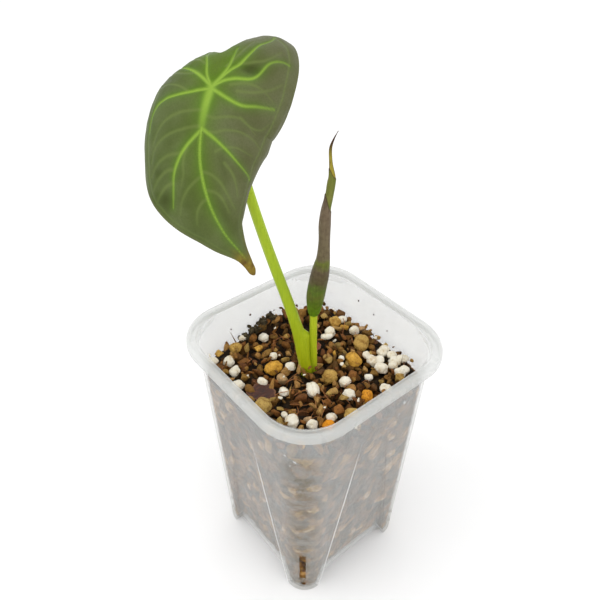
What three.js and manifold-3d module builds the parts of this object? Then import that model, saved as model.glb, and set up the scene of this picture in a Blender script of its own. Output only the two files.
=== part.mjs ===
// Young regal shields alocasia in a clear square nursery pot. Millimetres, +Z up.
// The plant is built round the pot's axis, and the whole is then set down so that the middle of
// its box, at the bottom, is the origin.
import * as THREE from 'three';
import { mergeVertices } from 'three/addons/utils/BufferGeometryUtils.js';
import Module from 'manifold-3d';

const wasm = await Module();
wasm.setup();

// Driving dimensions of the pot
const RIM_HALF = 37.5;
const RIM_CORNER = 19;
const POT_HEIGHT = 107;
const LIP_DROP = 3.6;
const LIP_SHEET = 1.1;
const MOUTH_HALF = 34.1;
const WALL = 0.9;
const WALL_TOP_HALF = 34.1;
const WALL_TOP_CORNER = 17;
const WALL_FOOT_HALF = 27.6;
const WALL_FOOT_CORNER = 8.4;
const FOOT_HEIGHT = 7;
const FOOT_INSIDE = 16.6;
const SOLE = 1.2;
const PANEL_TOP = 90;
const PANEL_TOP_HALF = 4.2;
const PANEL_SLOPE = 0.15;
const PANEL_DEPTH = 1.6;
const SLOT_WIDTH = 2.5;
const SLOT_FROM = 31;
const SLOT_TOP = 28;
const SLOT_BRIDGE = 7.6;
const DRAIN_RADIUS = 3;
const DRAIN_AWAY = 11;
const CORNER_STEPS = 6;

// Driving dimensions of the mix and what lies in it
const GAP = 0.35;
const MIX_LEVEL = 90.5;
const MIX_RELIEF = 2.8;
const CHIP_SIZE = 4.4;
const MIX_GRID = 27;
const SUNK = 0.3;

// Driving dimensions of the plant
const VIEW_SIDE = new THREE.Vector3(0.632, 0.775, 0);
const BLADE_TIP = -54;
const BLADE_THICK = 0.62;
const RIB_RISE = 0.8;
const RIB_WIDTH = 1.1;
const BLADE_RINGS = 15;
const BLADE_WAVE = 0.6;
const BLADE_WAVE_LENGTH = 19;
const CORM_TOP = 84;
const CORM_RADIUS = 5;
const CORM_HALF_LENGTH = 6.4;
const CORM_X = -0.5;
const CORM_Y = -0.6;
const STALK_RADIUS = 2.25;
const STALK_TOP_RADIUS = 1.35;
const SHEATH_SWELL = 0.5;
const NEW_STALK_RADIUS = 1.3;
const ROLL_LAP = 0.22;
const ROLL_SIDES = 18;
const ROOT_COUNT = 5;

const colours = {
  pot: 0xdfe3e4,
  mix: 0x4a2f20,
  perlite: 0xf1ece0,
  clay: 0xc58f45,
  bark: 0x3a2019,
  blade: 0x56623f,
  petiole: 0x9dbb3e,
  rolled: 0x6f6a3c,
  corm: 0xb89a6c,
};

function material(colour, roughness, opacity = 1) {
  return new THREE.MeshStandardMaterial({
    color: colour, roughness, metalness: 0, opacity, transparent: opacity < 1,
  });
}

// Solids and geometries
function toSolid(geometry) {
  geometry.deleteAttribute('normal');
  geometry.deleteAttribute('uv');
  const merged = mergeVertices(geometry, 1e-4);
  return new wasm.Manifold(new wasm.Mesh({
    numProp: 3,
    vertProperties: new Float32Array(merged.attributes.position.array),
    triVerts: new Uint32Array(merged.index.array),
  }));
}

function toGeometry(solid) {
  const mesh = solid.getMesh();
  const geometry = new THREE.BufferGeometry();
  geometry.setAttribute('position', new THREE.BufferAttribute(mesh.vertProperties, 3));
  geometry.setIndex(new THREE.BufferAttribute(mesh.triVerts, 1));
  geometry.computeVertexNormals();
  return geometry;
}

function indexed(points, faces) {
  const geometry = new THREE.BufferGeometry();
  geometry.setAttribute('position', new THREE.Float32BufferAttribute(points.flatMap((p) => [p.x, p.y, p.z]), 3));
  geometry.setIndex(faces.flat());
  return geometry;
}

// A closed body through rings of points that all run anticlockwise seen from above
function loft(rings) {
  const count = rings[0].length;
  const points = rings.flat();
  const faces = [];
  for (let row = 0; row < rings.length - 1; row += 1) {
    for (let k = 0; k < count; k += 1) {
      const a = row * count + k;
      const b = row * count + (k + 1) % count;
      faces.push([a, b, b + count], [a, b + count, a + count]);
    }
  }
  for (const [row, up] of [[0, false], [rings.length - 1, true]]) {
    const middle = points.length;
    const centre = new THREE.Vector3();
    rings[row].forEach((p) => centre.addScaledVector(p, 1 / count));
    points.push(centre);
    for (let k = 0; k < count; k += 1) {
      const a = row * count + k;
      const b = row * count + (k + 1) % count;
      faces.push(up ? [a, b, middle] : [b, a, middle]);
    }
  }
  return indexed(points, faces);
}

// A square ring with rounded corners
function squareRing(half, corner, z) {
  const ring = [];
  const straight = half - corner;
  for (let quarter = 0; quarter < 4; quarter += 1) {
    const start = quarter * Math.PI / 2;
    const cx = straight * Math.sign(Math.cos(start + Math.PI / 4));
    const cy = straight * Math.sign(Math.sin(start + Math.PI / 4));
    for (let step = 0; step <= CORNER_STEPS; step += 1) {
      const angle = start + step * Math.PI / 2 / CORNER_STEPS;
      ring.push(new THREE.Vector3(cx + corner * Math.cos(angle), cy + corner * Math.sin(angle), z));
    }
  }
  return ring;
}

const wallHalf = (z) => THREE.MathUtils.mapLinear(z, 0, POT_HEIGHT - LIP_DROP, WALL_FOOT_HALF, WALL_TOP_HALF);
const wallCorner = (z) => THREE.MathUtils.mapLinear(z, 0, POT_HEIGHT - LIP_DROP, WALL_FOOT_CORNER, WALL_TOP_CORNER);

// The tapered body between two heights, drawn in by an inset from the outside of the wall
function taper(bottom, top, inset) {
  const ring = (z) => squareRing(wallHalf(z) - inset, wallCorner(z) - inset, z);
  return toSolid(loft([ring(bottom), ring(top)]));
}

// The arch between two feet, along one side of the pot, grown by a margin
function archBar(margin) {
  const half = FOOT_INSIDE + margin;
  const top = FOOT_HEIGHT + margin;
  const shape = new THREE.Shape();
  shape.moveTo(-half - 3, -2);
  shape.lineTo(half + 3, -2);
  shape.lineTo(half + 1.4, 2);
  shape.quadraticCurveTo(half, top, half - 4, top);
  shape.lineTo(4 - half, top);
  shape.quadraticCurveTo(-half, top, -half - 1.4, 2);
  shape.closePath();
  const bar = new THREE.ExtrudeGeometry(shape, { depth: 90, bevelEnabled: false, curveSegments: 4 });
  bar.translate(0, 0, -45);
  bar.rotateX(Math.PI / 2);
  return toSolid(bar);
}

// The recess of one face: wide at the foot, narrow under the lip, deepest at the foot
function panelWedge(margin) {
  const ring = (z) => {
    const half = PANEL_TOP_HALF + (PANEL_TOP - z) * PANEL_SLOPE + margin;
    const depth = PANEL_DEPTH * (PANEL_TOP - z) / PANEL_TOP;
    const near = wallHalf(z) - depth - margin;
    return [[-half, -near], [-half, -50], [half, -50], [half, -near]].map(([x, y]) => new THREE.Vector3(x, y, z));
  };
  return toSolid(loft([ring(-3), ring(PANEL_TOP)]));
}

const quarterTurns = [0, 90, 180, 270];

// What the pot's outside leaves out, grown by a margin: the arches and the four recesses
function undercut(margin) {
  let cut = archBar(margin).add(archBar(margin).rotate([0, 0, 90]));
  for (const turn of quarterTurns) {
    cut = cut.add(panelWedge(margin).rotate([0, 0, turn]));
  }
  return cut;
}

function makePot() {
  const lipBottom = POT_HEIGHT - LIP_DROP;
  const lipBand = toSolid(loft([
    squareRing(RIM_HALF - 0.5, RIM_CORNER - 0.5, lipBottom),
    squareRing(RIM_HALF, RIM_CORNER, lipBottom + 1.2),
    squareRing(RIM_HALF - 0.2, RIM_CORNER - 0.2, POT_HEIGHT - 0.7),
    squareRing(RIM_HALF - 1, RIM_CORNER - 1, POT_HEIGHT),
  ]));
  const lipChannel = toSolid(loft([
    squareRing(RIM_HALF - LIP_SHEET - 0.3, RIM_CORNER - LIP_SHEET, lipBottom - 1),
    squareRing(RIM_HALF - LIP_SHEET, RIM_CORNER - LIP_SHEET, POT_HEIGHT - LIP_SHEET),
  ]));
  const outside = taper(0, POT_HEIGHT - LIP_SHEET / 2, 0).subtract(undercut(0));
  const mouth = toSolid(loft([
    squareRing(wallHalf(lipBottom) - WALL, wallCorner(lipBottom) - WALL, lipBottom),
    squareRing(MOUTH_HALF - 0.6, RIM_CORNER - 4, POT_HEIGHT - 0.6),
    squareRing(MOUTH_HALF, RIM_CORNER - 3, POT_HEIGHT + 1),
  ]));
  const inside = taper(SOLE, lipBottom + 0.01, WALL).subtract(undercut(WALL)).add(mouth);
  let pot = lipBand.subtract(lipChannel).add(outside).subtract(inside);

  const slotReach = 20;
  for (const turn of quarterTurns) {
    for (const [low, high] of [[SOLE + 1, SLOT_BRIDGE - 0.9], [SLOT_BRIDGE + 0.9, SLOT_TOP]]) {
      const slot = new THREE.BoxGeometry(slotReach, SLOT_WIDTH, high - low);
      slot.translate(SLOT_FROM + slotReach / 2, 0, (low + high) / 2);
      slot.rotateZ(THREE.MathUtils.degToRad(turn + 45));
      pot = pot.subtract(toSolid(slot));
    }
    const drain = new THREE.CylinderGeometry(DRAIN_RADIUS, DRAIN_RADIUS, 6, 16);
    drain.rotateX(Math.PI / 2);
    drain.translate(DRAIN_AWAY, 0, FOOT_HEIGHT + WALL / 2);
    drain.rotateZ(THREE.MathUtils.degToRad(turn));
    pot = pot.subtract(toSolid(drain));
  }
  return pot;
}

// Repeatable draws for the mix and the grains
function draw(seed) {
  const wave = Math.sin(seed * 127.1 + 311.7) * 43758.5453;
  return wave - Math.floor(wave);
}

// Height of the mix: a chip crowns each cell of a jittered grid, and dips run between the chips
function mixHeight(x, y) {
  const column = Math.floor(x / CHIP_SIZE);
  const row = Math.floor(y / CHIP_SIZE);
  let nearest = 1e9;
  let rise = 0;
  for (let i = column - 1; i <= column + 1; i += 1) {
    for (let j = row - 1; j <= row + 1; j += 1) {
      const seed = i * 17 + j * 131;
      const cx = (i + 0.2 + 0.6 * draw(seed)) * CHIP_SIZE;
      const cy = (j + 0.2 + 0.6 * draw(seed + 0.37)) * CHIP_SIZE;
      const away = Math.hypot(x - cx, y - cy) / CHIP_SIZE;
      if (away < nearest) {
        nearest = away;
        rise = draw(seed + 0.71);
      }
    }
  }
  const dip = THREE.MathUtils.smoothstep(nearest, 0.25, 0.85);
  return MIX_LEVEL + MIX_RELIEF * (rise * 0.6 - dip * 0.9) - 0.0006 * (x * x + y * y);
}

// A block with the bumpy top, wider than the pot, to be cut to the pot's inside
function bumpyBlock() {
  const reach = RIM_HALF;
  const step = 2 * reach / (MIX_GRID - 1);
  const points = [];
  const faces = [];
  for (let j = 0; j < MIX_GRID; j += 1) {
    for (let i = 0; i < MIX_GRID; i += 1) {
      const seed = i * 3.1 + j * 57.7;
      const inner = i > 0 && i < MIX_GRID - 1 && j > 0 && j < MIX_GRID - 1;
      const x = -reach + step * (i + (inner ? 0.5 * (draw(seed) - 0.5) : 0));
      const y = -reach + step * (j + (inner ? 0.5 * (draw(seed + 0.5) - 0.5) : 0));
      points.push(new THREE.Vector3(x, y, mixHeight(x, y)));
    }
  }
  for (let j = 0; j < MIX_GRID - 1; j += 1) {
    for (let i = 0; i < MIX_GRID - 1; i += 1) {
      const a = j * MIX_GRID + i;
      const b = a + MIX_GRID;
      faces.push([a, a + 1, b + 1], [a, b + 1, b]);
    }
  }
  const border = [];
  for (let i = 0; i < MIX_GRID - 1; i += 1) border.push(i);
  for (let j = 0; j < MIX_GRID - 1; j += 1) border.push(j * MIX_GRID + MIX_GRID - 1);
  for (let i = MIX_GRID - 1; i > 0; i -= 1) border.push((MIX_GRID - 1) * MIX_GRID + i);
  for (let j = MIX_GRID - 1; j > 0; j -= 1) border.push(j * MIX_GRID);
  const below = points.length;
  border.forEach((k) => points.push(new THREE.Vector3(points[k].x, points[k].y, -5)));
  const middle = points.length;
  points.push(new THREE.Vector3(0, 0, -5));
  border.forEach((k, n) => {
    const next = (n + 1) % border.length;
    faces.push([below + n, below + next, border[next]], [below + n, border[next], k]);
    faces.push([below + next, below + n, middle]);
  });
  return toSolid(indexed(points, faces));
}

// Grains that lie in the top of the mix: kind, x, y and width
const grains = [
  ['clay', -9.6, -11, 6],
  ['clay', 6.8, 2.4, 5.6],
  ['clay', 5.9, 14.7, 6],
  ['clay', 1.3, 23.4, 6.6],
  ['clay', -14.8, 24, 4.8],
  ['clay', 22.6, 6, 4.6],
  ['clay', 24.4, -13.4, 4.6],
  ['clay', 3.3, -25.2, 6.2],
  ['clay', 25.2, -4, 5.4],
  ['clay', -27.2, -15.4, 4.6],
  ['perlite', -25.4, -3.4, 4],
  ['perlite', -22.7, -21.6, 4.2],
  ['perlite', -17, -22.6, 4.2],
  ['perlite', -6.4, -5.4, 3.8],
  ['perlite', 8.2, -6.7, 5.4],
  ['perlite', 12.6, 4.6, 4.2],
  ['perlite', 17.8, 1.8, 4.4],
  ['perlite', 2.4, -15.3, 3.6],
  ['perlite', 14.4, -21.4, 5.2],
  ['perlite', 20, -17.2, 4],
  ['perlite', 21.7, -10, 3.6],
  ['perlite', -11.5, 18.5, 4.4],
  ['perlite', -6.3, 26.6, 4],
  ['perlite', 24, 13.6, 4.2],
  ['perlite', 10.4, 20, 4.4],
  ['perlite', 9.4, 27, 4.6],
  ['perlite', 15.8, 19.6, 4.6],
  ['perlite', 16, 26, 4.6],
  ['perlite', 21.4, 23.6, 4.4],
  ['perlite', -10.6, -25.9, 4.2],
];

// A lumpy pebble: an icosahedron's ball, pressed a little and pushed in and out by a draw
function pebble(kind, x, y, width, seed, margin) {
  const ball = new THREE.IcosahedronGeometry(1, 1);
  const place = ball.attributes.position;
  const lump = kind === 'clay' ? 0.08 : 0.2;
  const flat = 0.78 + 0.16 * draw(seed);
  const long = 0.94 + 0.22 * draw(seed + 0.2);
  const turn = draw(seed + 0.4) * Math.PI;
  for (let k = 0; k < place.count; k += 1) {
    const p = new THREE.Vector3().fromBufferAttribute(place, k);
    const key = Math.round(p.x * 50) + Math.round(p.y * 50) * 3.3 + Math.round(p.z * 50) * 7.7;
    const size = width / 2 * (1 + lump * (0.6 - draw(key + seed))) + margin;
    p.multiply(new THREE.Vector3(size * long, size / long, size * flat));
    place.setXYZ(k, p.x, p.y, p.z);
  }
  ball.rotateZ(turn);
  ball.translate(x, y, MIX_LEVEL + SUNK + width * 0.14);
  return toSolid(ball);
}

// Bark chips: length, width, thickness, x, y and turn in radians
const barkChips = [
  [11, 6, 1, -1.6, -21.8, 0.5],
  [8, 4, 0.9, -9, 8, 2.2],
];

// A flat chip of bark, thin and slightly tilted
function barkChip(length, width, thick, x, y, turn, margin) {
  const outline = new THREE.Shape();
  const l = length / 2 + margin;
  const w = width / 2 + margin;
  outline.moveTo(-l, -w * 0.5);
  outline.lineTo(-l * 0.2, -w);
  outline.lineTo(l, -w * 0.4);
  outline.lineTo(l * 0.8, w * 0.6);
  outline.lineTo(-l * 0.7, w);
  outline.closePath();
  const chip = new THREE.ExtrudeGeometry(outline, { depth: thick + 2 * margin, bevelEnabled: false });
  chip.translate(0, 0, -thick / 2 - margin);
  chip.rotateX(0.12);
  chip.rotateZ(turn);
  chip.translate(x, y, MIX_LEVEL + 0.7);
  return toSolid(chip);
}

// A round tube along a curve with a radius given by a function of the way along
function stalk(curve, radius, sides, steps, squash = 1) {
  const frames = curve.computeFrenetFrames(steps, false);
  const rings = [];
  for (let i = 0; i <= steps; i += 1) {
    const t = i / steps;
    const at = curve.getPointAt(t);
    const ring = [];
    for (let k = 0; k < sides; k += 1) {
      const angle = 2 * Math.PI * k / sides;
      const r = radius(t, angle);
      ring.push(at.clone()
        .addScaledVector(frames.normals[i], r * Math.cos(angle))
        .addScaledVector(frames.binormals[i], r * squash * Math.sin(angle)));
    }
    rings.push(ring);
  }
  return loft(rings);
}

// A point in the upright plane through the pot's axis, by its way sideways and its height
const onPlane = (side, z, towards = 0) => new THREE.Vector3(
  side * VIEW_SIDE.x + towards * VIEW_SIDE.y,
  side * VIEW_SIDE.y - towards * VIEW_SIDE.x,
  z,
);

// The blade of the grown leaf. Its flat outline is bent by stations along the midrib.
// v runs along the midrib from the hub, down to the tip where it is below zero.
const halfOutline = [
  [0, 12], [3.4, 15.4], [8.2, 20.8], [14, 24.2], [19.2, 20.4], [22.8, 13.2], [23.6, 3.8], [23.2, -6.2],
  [21.6, -16], [17.8, -25.6], [12, -33.6], [6, -40.6], [2.5, -46], [1.5, -50], [1.1, -52.8], [0, BLADE_TIP],
];
const stations = {
  v: [BLADE_TIP, -47, -39, -30, -20, -10, 0, 12, 26],
  drift: [11.5, 8.6, 3.6, -0.3, -2.4, -2, 0, 1.2, 1.2],
  tilt: [-34, -32, -22, -8, -2, 6, 16, 58, 100],
  twist: [54, 46, 16, 6, 6, 6, 0, -12, -30],
  curlLeft: [10, 18, 16, 28, 74, 100, 103, 100, 90],
  curlRight: [22, 50, 60, 74, 70, 72, 68, 66, 42],
};
const HUB = new THREE.Vector3(-17, -22.4, 196);
const BLADE_AZIMUTH = THREE.MathUtils.degToRad(46);
const BLADE_RISE = THREE.MathUtils.degToRad(26);
const bladeNormal = new THREE.Vector3(
  Math.sin(BLADE_AZIMUTH) * Math.cos(BLADE_RISE),
  -Math.cos(BLADE_AZIMUTH) * Math.cos(BLADE_RISE),
  Math.sin(BLADE_RISE),
);
const bladeAcross = new THREE.Vector3(Math.cos(BLADE_AZIMUTH), Math.sin(BLADE_AZIMUTH), 0);
const bladeAlong = new THREE.Vector3().crossVectors(bladeNormal, bladeAcross);

// A smooth curve through the stations' values, with its slope
function station(values, v) {
  const xs = stations.v;
  let i = 0;
  while (i < xs.length - 2 && v > xs[i + 1]) i += 1;
  const slope = (k) => {
    const low = Math.max(k - 1, 0);
    const high = Math.min(k + 1, xs.length - 1);
    return (values[high] - values[low]) / (xs[high] - xs[low]);
  };
  const h = xs[i + 1] - xs[i];
  const t = (v - xs[i]) / h;
  const t2 = t * t;
  const t3 = t2 * t;
  return (2 * t3 - 3 * t2 + 1) * values[i] + (t3 - 2 * t2 + t) * h * slope(i)
    + (3 * t2 - 2 * t3) * values[i + 1] + (t3 - t2) * h * slope(i + 1);
}

const outlineCurve = new THREE.CatmullRomCurve3([
  ...halfOutline.map(([u, v]) => new THREE.Vector3(u, v, 0)),
  ...halfOutline.slice(1, -1).reverse().map(([u, v]) => new THREE.Vector3(-u, v, 0)),
], true, 'centripetal');

// Half width of the flat blade at v, taken on its outer edge
const edgePoints = outlineCurve.getPoints(400).slice(0, 201);
const widest = edgePoints.reduce((best, p, k) => (p.y > edgePoints[best].y ? k : best), 0);
function halfWidth(v) {
  for (let k = widest; k < 200; k += 1) {
    const a = edgePoints[k];
    const b = edgePoints[k + 1];
    if (v <= a.y && v >= b.y && a.y > b.y) return THREE.MathUtils.mapLinear(v, a.y, b.y, a.x, b.x);
  }
  return v > 0 ? edgePoints[widest].x : 0.5;
}

const CURL_POWER = 1.6;
const SLICES = 24;

// The midrib's own curve, added up from the hub in short steps
function midrib(v) {
  const steps = Math.max(2, Math.ceil(Math.abs(v) * 2));
  const step = v / steps;
  let along = 0;
  let out = 0;
  for (let k = 0; k < steps; k += 1) {
    const tilt = THREE.MathUtils.degToRad(station(stations.tilt, (k + 0.5) * step));
    along += Math.cos(tilt) * step;
    out -= Math.sin(tilt) * step;
  }
  return { along, out };
}

// Where a point of the flat blade comes to lie
function bend(u, v) {
  const way = Math.abs(u);
  const side = u >= 0 ? stations.curlRight : stations.curlLeft;
  const curl = THREE.MathUtils.degToRad(station(side, v));
  const width = Math.max(halfWidth(v), 6);
  let reach = 0;
  let back = 0;
  for (let k = 0; k < SLICES; k += 1) {
    const angle = curl * (way * (k + 0.5) / SLICES / width) ** CURL_POWER;
    reach += Math.cos(angle) * way / SLICES;
    back += Math.sin(angle) * way / SLICES;
  }
  const twist = THREE.MathUtils.degToRad(station(stations.twist, v));
  const across = Math.sign(u) * reach;
  const x = across * Math.cos(twist) - back * Math.sin(twist);
  const h = -across * Math.sin(twist) - back * Math.cos(twist);
  const tilt = THREE.MathUtils.degToRad(station(stations.tilt, v));
  const slope = (station(stations.drift, v + 0.1) - station(stations.drift, v - 0.1)) / 0.2;
  const square = Math.hypot(1, slope);
  const { along, out } = midrib(v);
  const lean = -x * slope / square;
  return HUB.clone()
    .addScaledVector(bladeAcross, station(stations.drift, v) + x / square)
    .addScaledVector(bladeAlong, along + lean * Math.cos(tilt) + h * Math.sin(tilt))
    .addScaledVector(bladeNormal, out - lean * Math.sin(tilt) + h * Math.cos(tilt));
}

// Spokes run from the hub to the edge, closer together at the tip and the notch
const spokeEnds = [];
for (let k = 0; k < 30; k += 1) {
  for (const part of k > 12 && k < 17 ? [0] : [0, 0.5]) {
    spokeEnds.push(outlineCurve.getPoint((k + part) / 30));
  }
}

function bladeSurface(rings, raise) {
  const rows = [];
  for (let i = 1; i <= rings; i += 1) {
    const t = (i / BLADE_RINGS) ** 0.9;
    rows.push(spokeEnds.map((end) => {
      const u = end.x * t;
      const v = end.y * t;
      const normal = new THREE.Vector3().crossVectors(
        bend(u + 0.2, v).sub(bend(u - 0.2, v)),
        bend(u, v + 0.2).sub(bend(u, v - 0.2)),
      ).normalize();
      const edge = Math.min(1, Math.abs(u) / Math.max(halfWidth(v), 8));
      const wave = BLADE_WAVE * edge ** 3 * Math.sin(2 * Math.PI * v / BLADE_WAVE_LENGTH + Math.sign(u) * 1.3);
      return bend(u, v).addScaledVector(normal, raise(u, v) + wave);
    }));
  }
  return rows;
}

// A closed sheet between two raised copies of the blade's middle surface
function bladeSheet(rings, upper, lower) {
  const count = spokeEnds.length;
  const points = [];
  const faces = [];
  const layers = [upper, lower].map((raise) => {
    const start = points.length;
    const normal = new THREE.Vector3().crossVectors(
      bend(0.2, 0).sub(bend(-0.2, 0)),
      bend(0, 0.2).sub(bend(0, -0.2)),
    ).normalize();
    points.push(HUB.clone().addScaledVector(normal, raise(0, 0)));
    points.push(...bladeSurface(rings, raise).flat());
    return start;
  });
  layers.forEach((start, layer) => {
    const put = (a, b, c) => faces.push(layer === 0 ? [a, c, b] : [a, b, c]);
    for (let k = 0; k < count; k += 1) {
      const next = (k + 1) % count;
      put(start, start + 1 + k, start + 1 + next);
      for (let i = 0; i < rings - 1; i += 1) {
        const a = start + 1 + i * count + k;
        const b = start + 1 + i * count + next;
        put(a, a + count, b + count);
        put(a, b + count, b);
      }
    }
  });
  const edge = 1 + (rings - 1) * count;
  for (let k = 0; k < count; k += 1) {
    const a = layers[0] + edge + k;
    const b = layers[0] + edge + (k + 1) % count;
    const c = layers[1] + edge + k;
    const d = layers[1] + edge + (k + 1) % count;
    faces.push([a, b, d], [a, d, c]);
  }
  return toSolid(indexed(points, faces));
}

const ribRise = (u, v) => RIB_RISE * Math.exp(-((u / RIB_WIDTH) ** 2)) * THREE.MathUtils.clamp(1 + v / 60, 0.15, 1)
  * (v > 2 ? 0.2 : 1);

function makeBlade() {
  const upper = () => BLADE_THICK / 2;
  const lower = (u, v) => -BLADE_THICK / 2 - ribRise(u, v);
  return bladeSheet(BLADE_RINGS, upper, lower);
}

// The leaf stalk, from the corm to the underside of the blade, with the sheath round the new stalk
function makeStalk() {
  const curve = new THREE.CatmullRomCurve3([
    onPlane(-1.6, CORM_TOP), onPlane(-2, 91), onPlane(-3.1, 98), onPlane(-4.5, 106), onPlane(-6.6, 115),
    onPlane(-9, 124), onPlane(-13.6, 140), onPlane(-17.6, 155), onPlane(-23, 177, -0.5), HUB.clone(),
  ], false, 'centripetal');
  const radius = (t) => THREE.MathUtils.lerp(STALK_RADIUS, STALK_TOP_RADIUS, t ** 0.8)
    + SHEATH_SWELL * Math.exp(-(((t - 0.13) / 0.09) ** 2));
  const cutter = bladeSheet(5, () => 8, (u, v) => -BLADE_THICK / 2 - GAP - ribRise(u, v));
  return toSolid(stalk(curve, radius, 12, 26)).subtract(cutter);
}

const newStalkCurve = new THREE.CatmullRomCurve3([
  onPlane(0.3, CORM_TOP), onPlane(0.3, 93), onPlane(0.1, 101), onPlane(0, 110), onPlane(0, 117.2),
], false, 'centripetal');

function makeNewStalk(margin, stretch = 0) {
  const top = newStalkCurve.getPointAt(1);
  const curve = stretch ? new THREE.CatmullRomCurve3([
    newStalkCurve.getPointAt(0).add(new THREE.Vector3(0, 0, -stretch)),
    ...[0.25, 0.5, 0.75].map((t) => newStalkCurve.getPointAt(t)),
    top.add(new THREE.Vector3(0, 0, stretch)),
  ], false, 'centripetal') : newStalkCurve;
  return toSolid(stalk(curve, () => NEW_STALK_RADIUS + margin, 10, 10));
}

// The rolled new leaf: way sideways, height and width along it
const rollStations = [
  [0, 117.5, 2.9], [0.1, 119.5, 4.3], [0.4, 124, 5.7], [0.8, 128, 6], [1.7, 134, 5.8], [2.3, 138, 5],
  [2.7, 141, 4.2], [2.9, 147, 3.5], [2.9, 153, 3.6], [3.2, 158, 3.1], [3.9, 162, 2.8], [4.5, 167, 2.9],
  [4.7, 169.5, 2.5], [4.2, 173.5, 1.7], [4, 178, 1.5], [4.9, 181, 1.1], [6, 183.2, 0.7],
];

// Each ring is one turn of a scroll, so that the outer edge laps over the inner one
function makeRolledLeaf() {
  const rings = rollStations.map(([side, z, width], row) => {
    const start = 0.6 + row * 0.16;
    const centre = onPlane(side, z);
    const ring = [];
    for (let k = 0; k < ROLL_SIDES; k += 1) {
      const way = k / ROLL_SIDES;
      const radius = width / 2 * (1 - ROLL_LAP / 2 + ROLL_LAP * way);
      const angle = start + 2 * Math.PI * way;
      ring.push(new THREE.Vector3(
        centre.x + radius * Math.cos(angle),
        centre.y + radius * Math.sin(angle),
        z,
      ));
    }
    return ring;
  });
  return toSolid(loft(rings));
}

// The corm with its roots, one grown piece
function makeCorm(margin) {
  const body = new THREE.SphereGeometry(1, 12, 7);
  body.rotateX(Math.PI / 2);
  body.scale(CORM_RADIUS + margin, CORM_RADIUS + margin, CORM_HALF_LENGTH + margin);
  body.translate(CORM_X, CORM_Y, CORM_TOP - GAP - CORM_HALF_LENGTH);
  let corm = toSolid(body);
  for (let k = 0; k < ROOT_COUNT; k += 1) {
    const turn = 2 * Math.PI * k / ROOT_COUNT + 0.4;
    const reach = 13 + 6 * draw(k + 5);
    const depth = 26 + 18 * draw(k + 9);
    const at = (far, down) => new THREE.Vector3(
      CORM_X + far * Math.cos(turn + far * 0.02),
      CORM_Y + far * Math.sin(turn + far * 0.02),
      CORM_TOP - 8 - down,
    );
    const curve = new THREE.CatmullRomCurve3([
      at(2, 0), at(7, 3), at(reach * 0.7, depth * 0.35), at(reach, depth),
    ], false, 'centripetal');
    const root = stalk(curve, (t) => 0.9 - 0.35 * t + margin, 6, 6);
    corm = corm.add(toSolid(root));
  }
  return corm;
}

const plant = new THREE.Group();

function put(name, solid, mat) {
  const mesh = new THREE.Mesh(toGeometry(solid), mat);
  mesh.name = name;
  plant.add(mesh);
  return mesh;
}

// The mix fills the pot and keeps a gap to it and to everything that stands or lies in it
const mixBody = taper(SOLE + GAP, POT_HEIGHT - 6, WALL + GAP).subtract(undercut(WALL + GAP)).intersect(bumpyBlock());
const stemHole = makeNewStalk(GAP, 3).add(toSolid(stalk(new THREE.CatmullRomCurve3([
  onPlane(-1.6, CORM_TOP - 3), onPlane(-2, 91), onPlane(-3.4, 99),
], false, 'centripetal'), () => STALK_RADIUS + SHEATH_SWELL + GAP, 12, 6)));
let mix = mixBody.subtract(stemHole).subtract(makeCorm(GAP));

const corm = makeCorm(0);
const newStalk = makeNewStalk(0);
const leafStalk = makeStalk().subtract(makeNewStalk(GAP, 3));

put('pot', makePot(), material(colours.pot, 0.3, 0.6));
put('corm_with_roots', corm, material(colours.corm, 0.8));
put('leaf_petiole', leafStalk, material(colours.petiole, 0.45));
put('leaf_blade', makeBlade(), material(colours.blade, 0.4));
put('new_leaf_petiole', newStalk, material(colours.petiole, 0.45));
put('new_leaf_rolled', makeRolledLeaf(), material(colours.rolled, 0.5));

const counts = { clay: 0, perlite: 0 };
grains.forEach(([kind, x, y, width], k) => {
  counts[kind] += 1;
  const name = `${kind}_${String(counts[kind]).padStart(2, '0')}`;
  put(name, pebble(kind, x, y, width, k + 1, 0), material(colours[kind], 0.9));
  mix = mix.subtract(pebble(kind, x, y, width, k + 1, GAP));
});
barkChips.forEach(([length, width, thick, x, y, turn], k) => {
  put(`bark_chip_${k + 1}`, barkChip(length, width, thick, x, y, turn, 0), material(colours.bark, 0.85));
  mix = mix.subtract(barkChip(length, width, thick, x, y, turn, GAP));
});
put('potting_mix', mix, material(colours.mix, 0.95));

// Set the whole down on its box's bottom middle
const box = new THREE.Box3().setFromObject(plant);
plant.position.set(-(box.min.x + box.max.x) / 2, -(box.min.y + box.max.y) / 2, -box.min.z);
plant.updateMatrixWorld(true);

export default plant;
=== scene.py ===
"""A young regal shields alocasia in a clear square nursery pot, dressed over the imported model.

Shapes are worked out in millimetres round the pot's axis, with +Z up, and set into the frame in metres.
"""
import math

import bmesh
import bpy
import numpy as np
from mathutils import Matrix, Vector, noise
from mathutils.kdtree import KDTree


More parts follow.
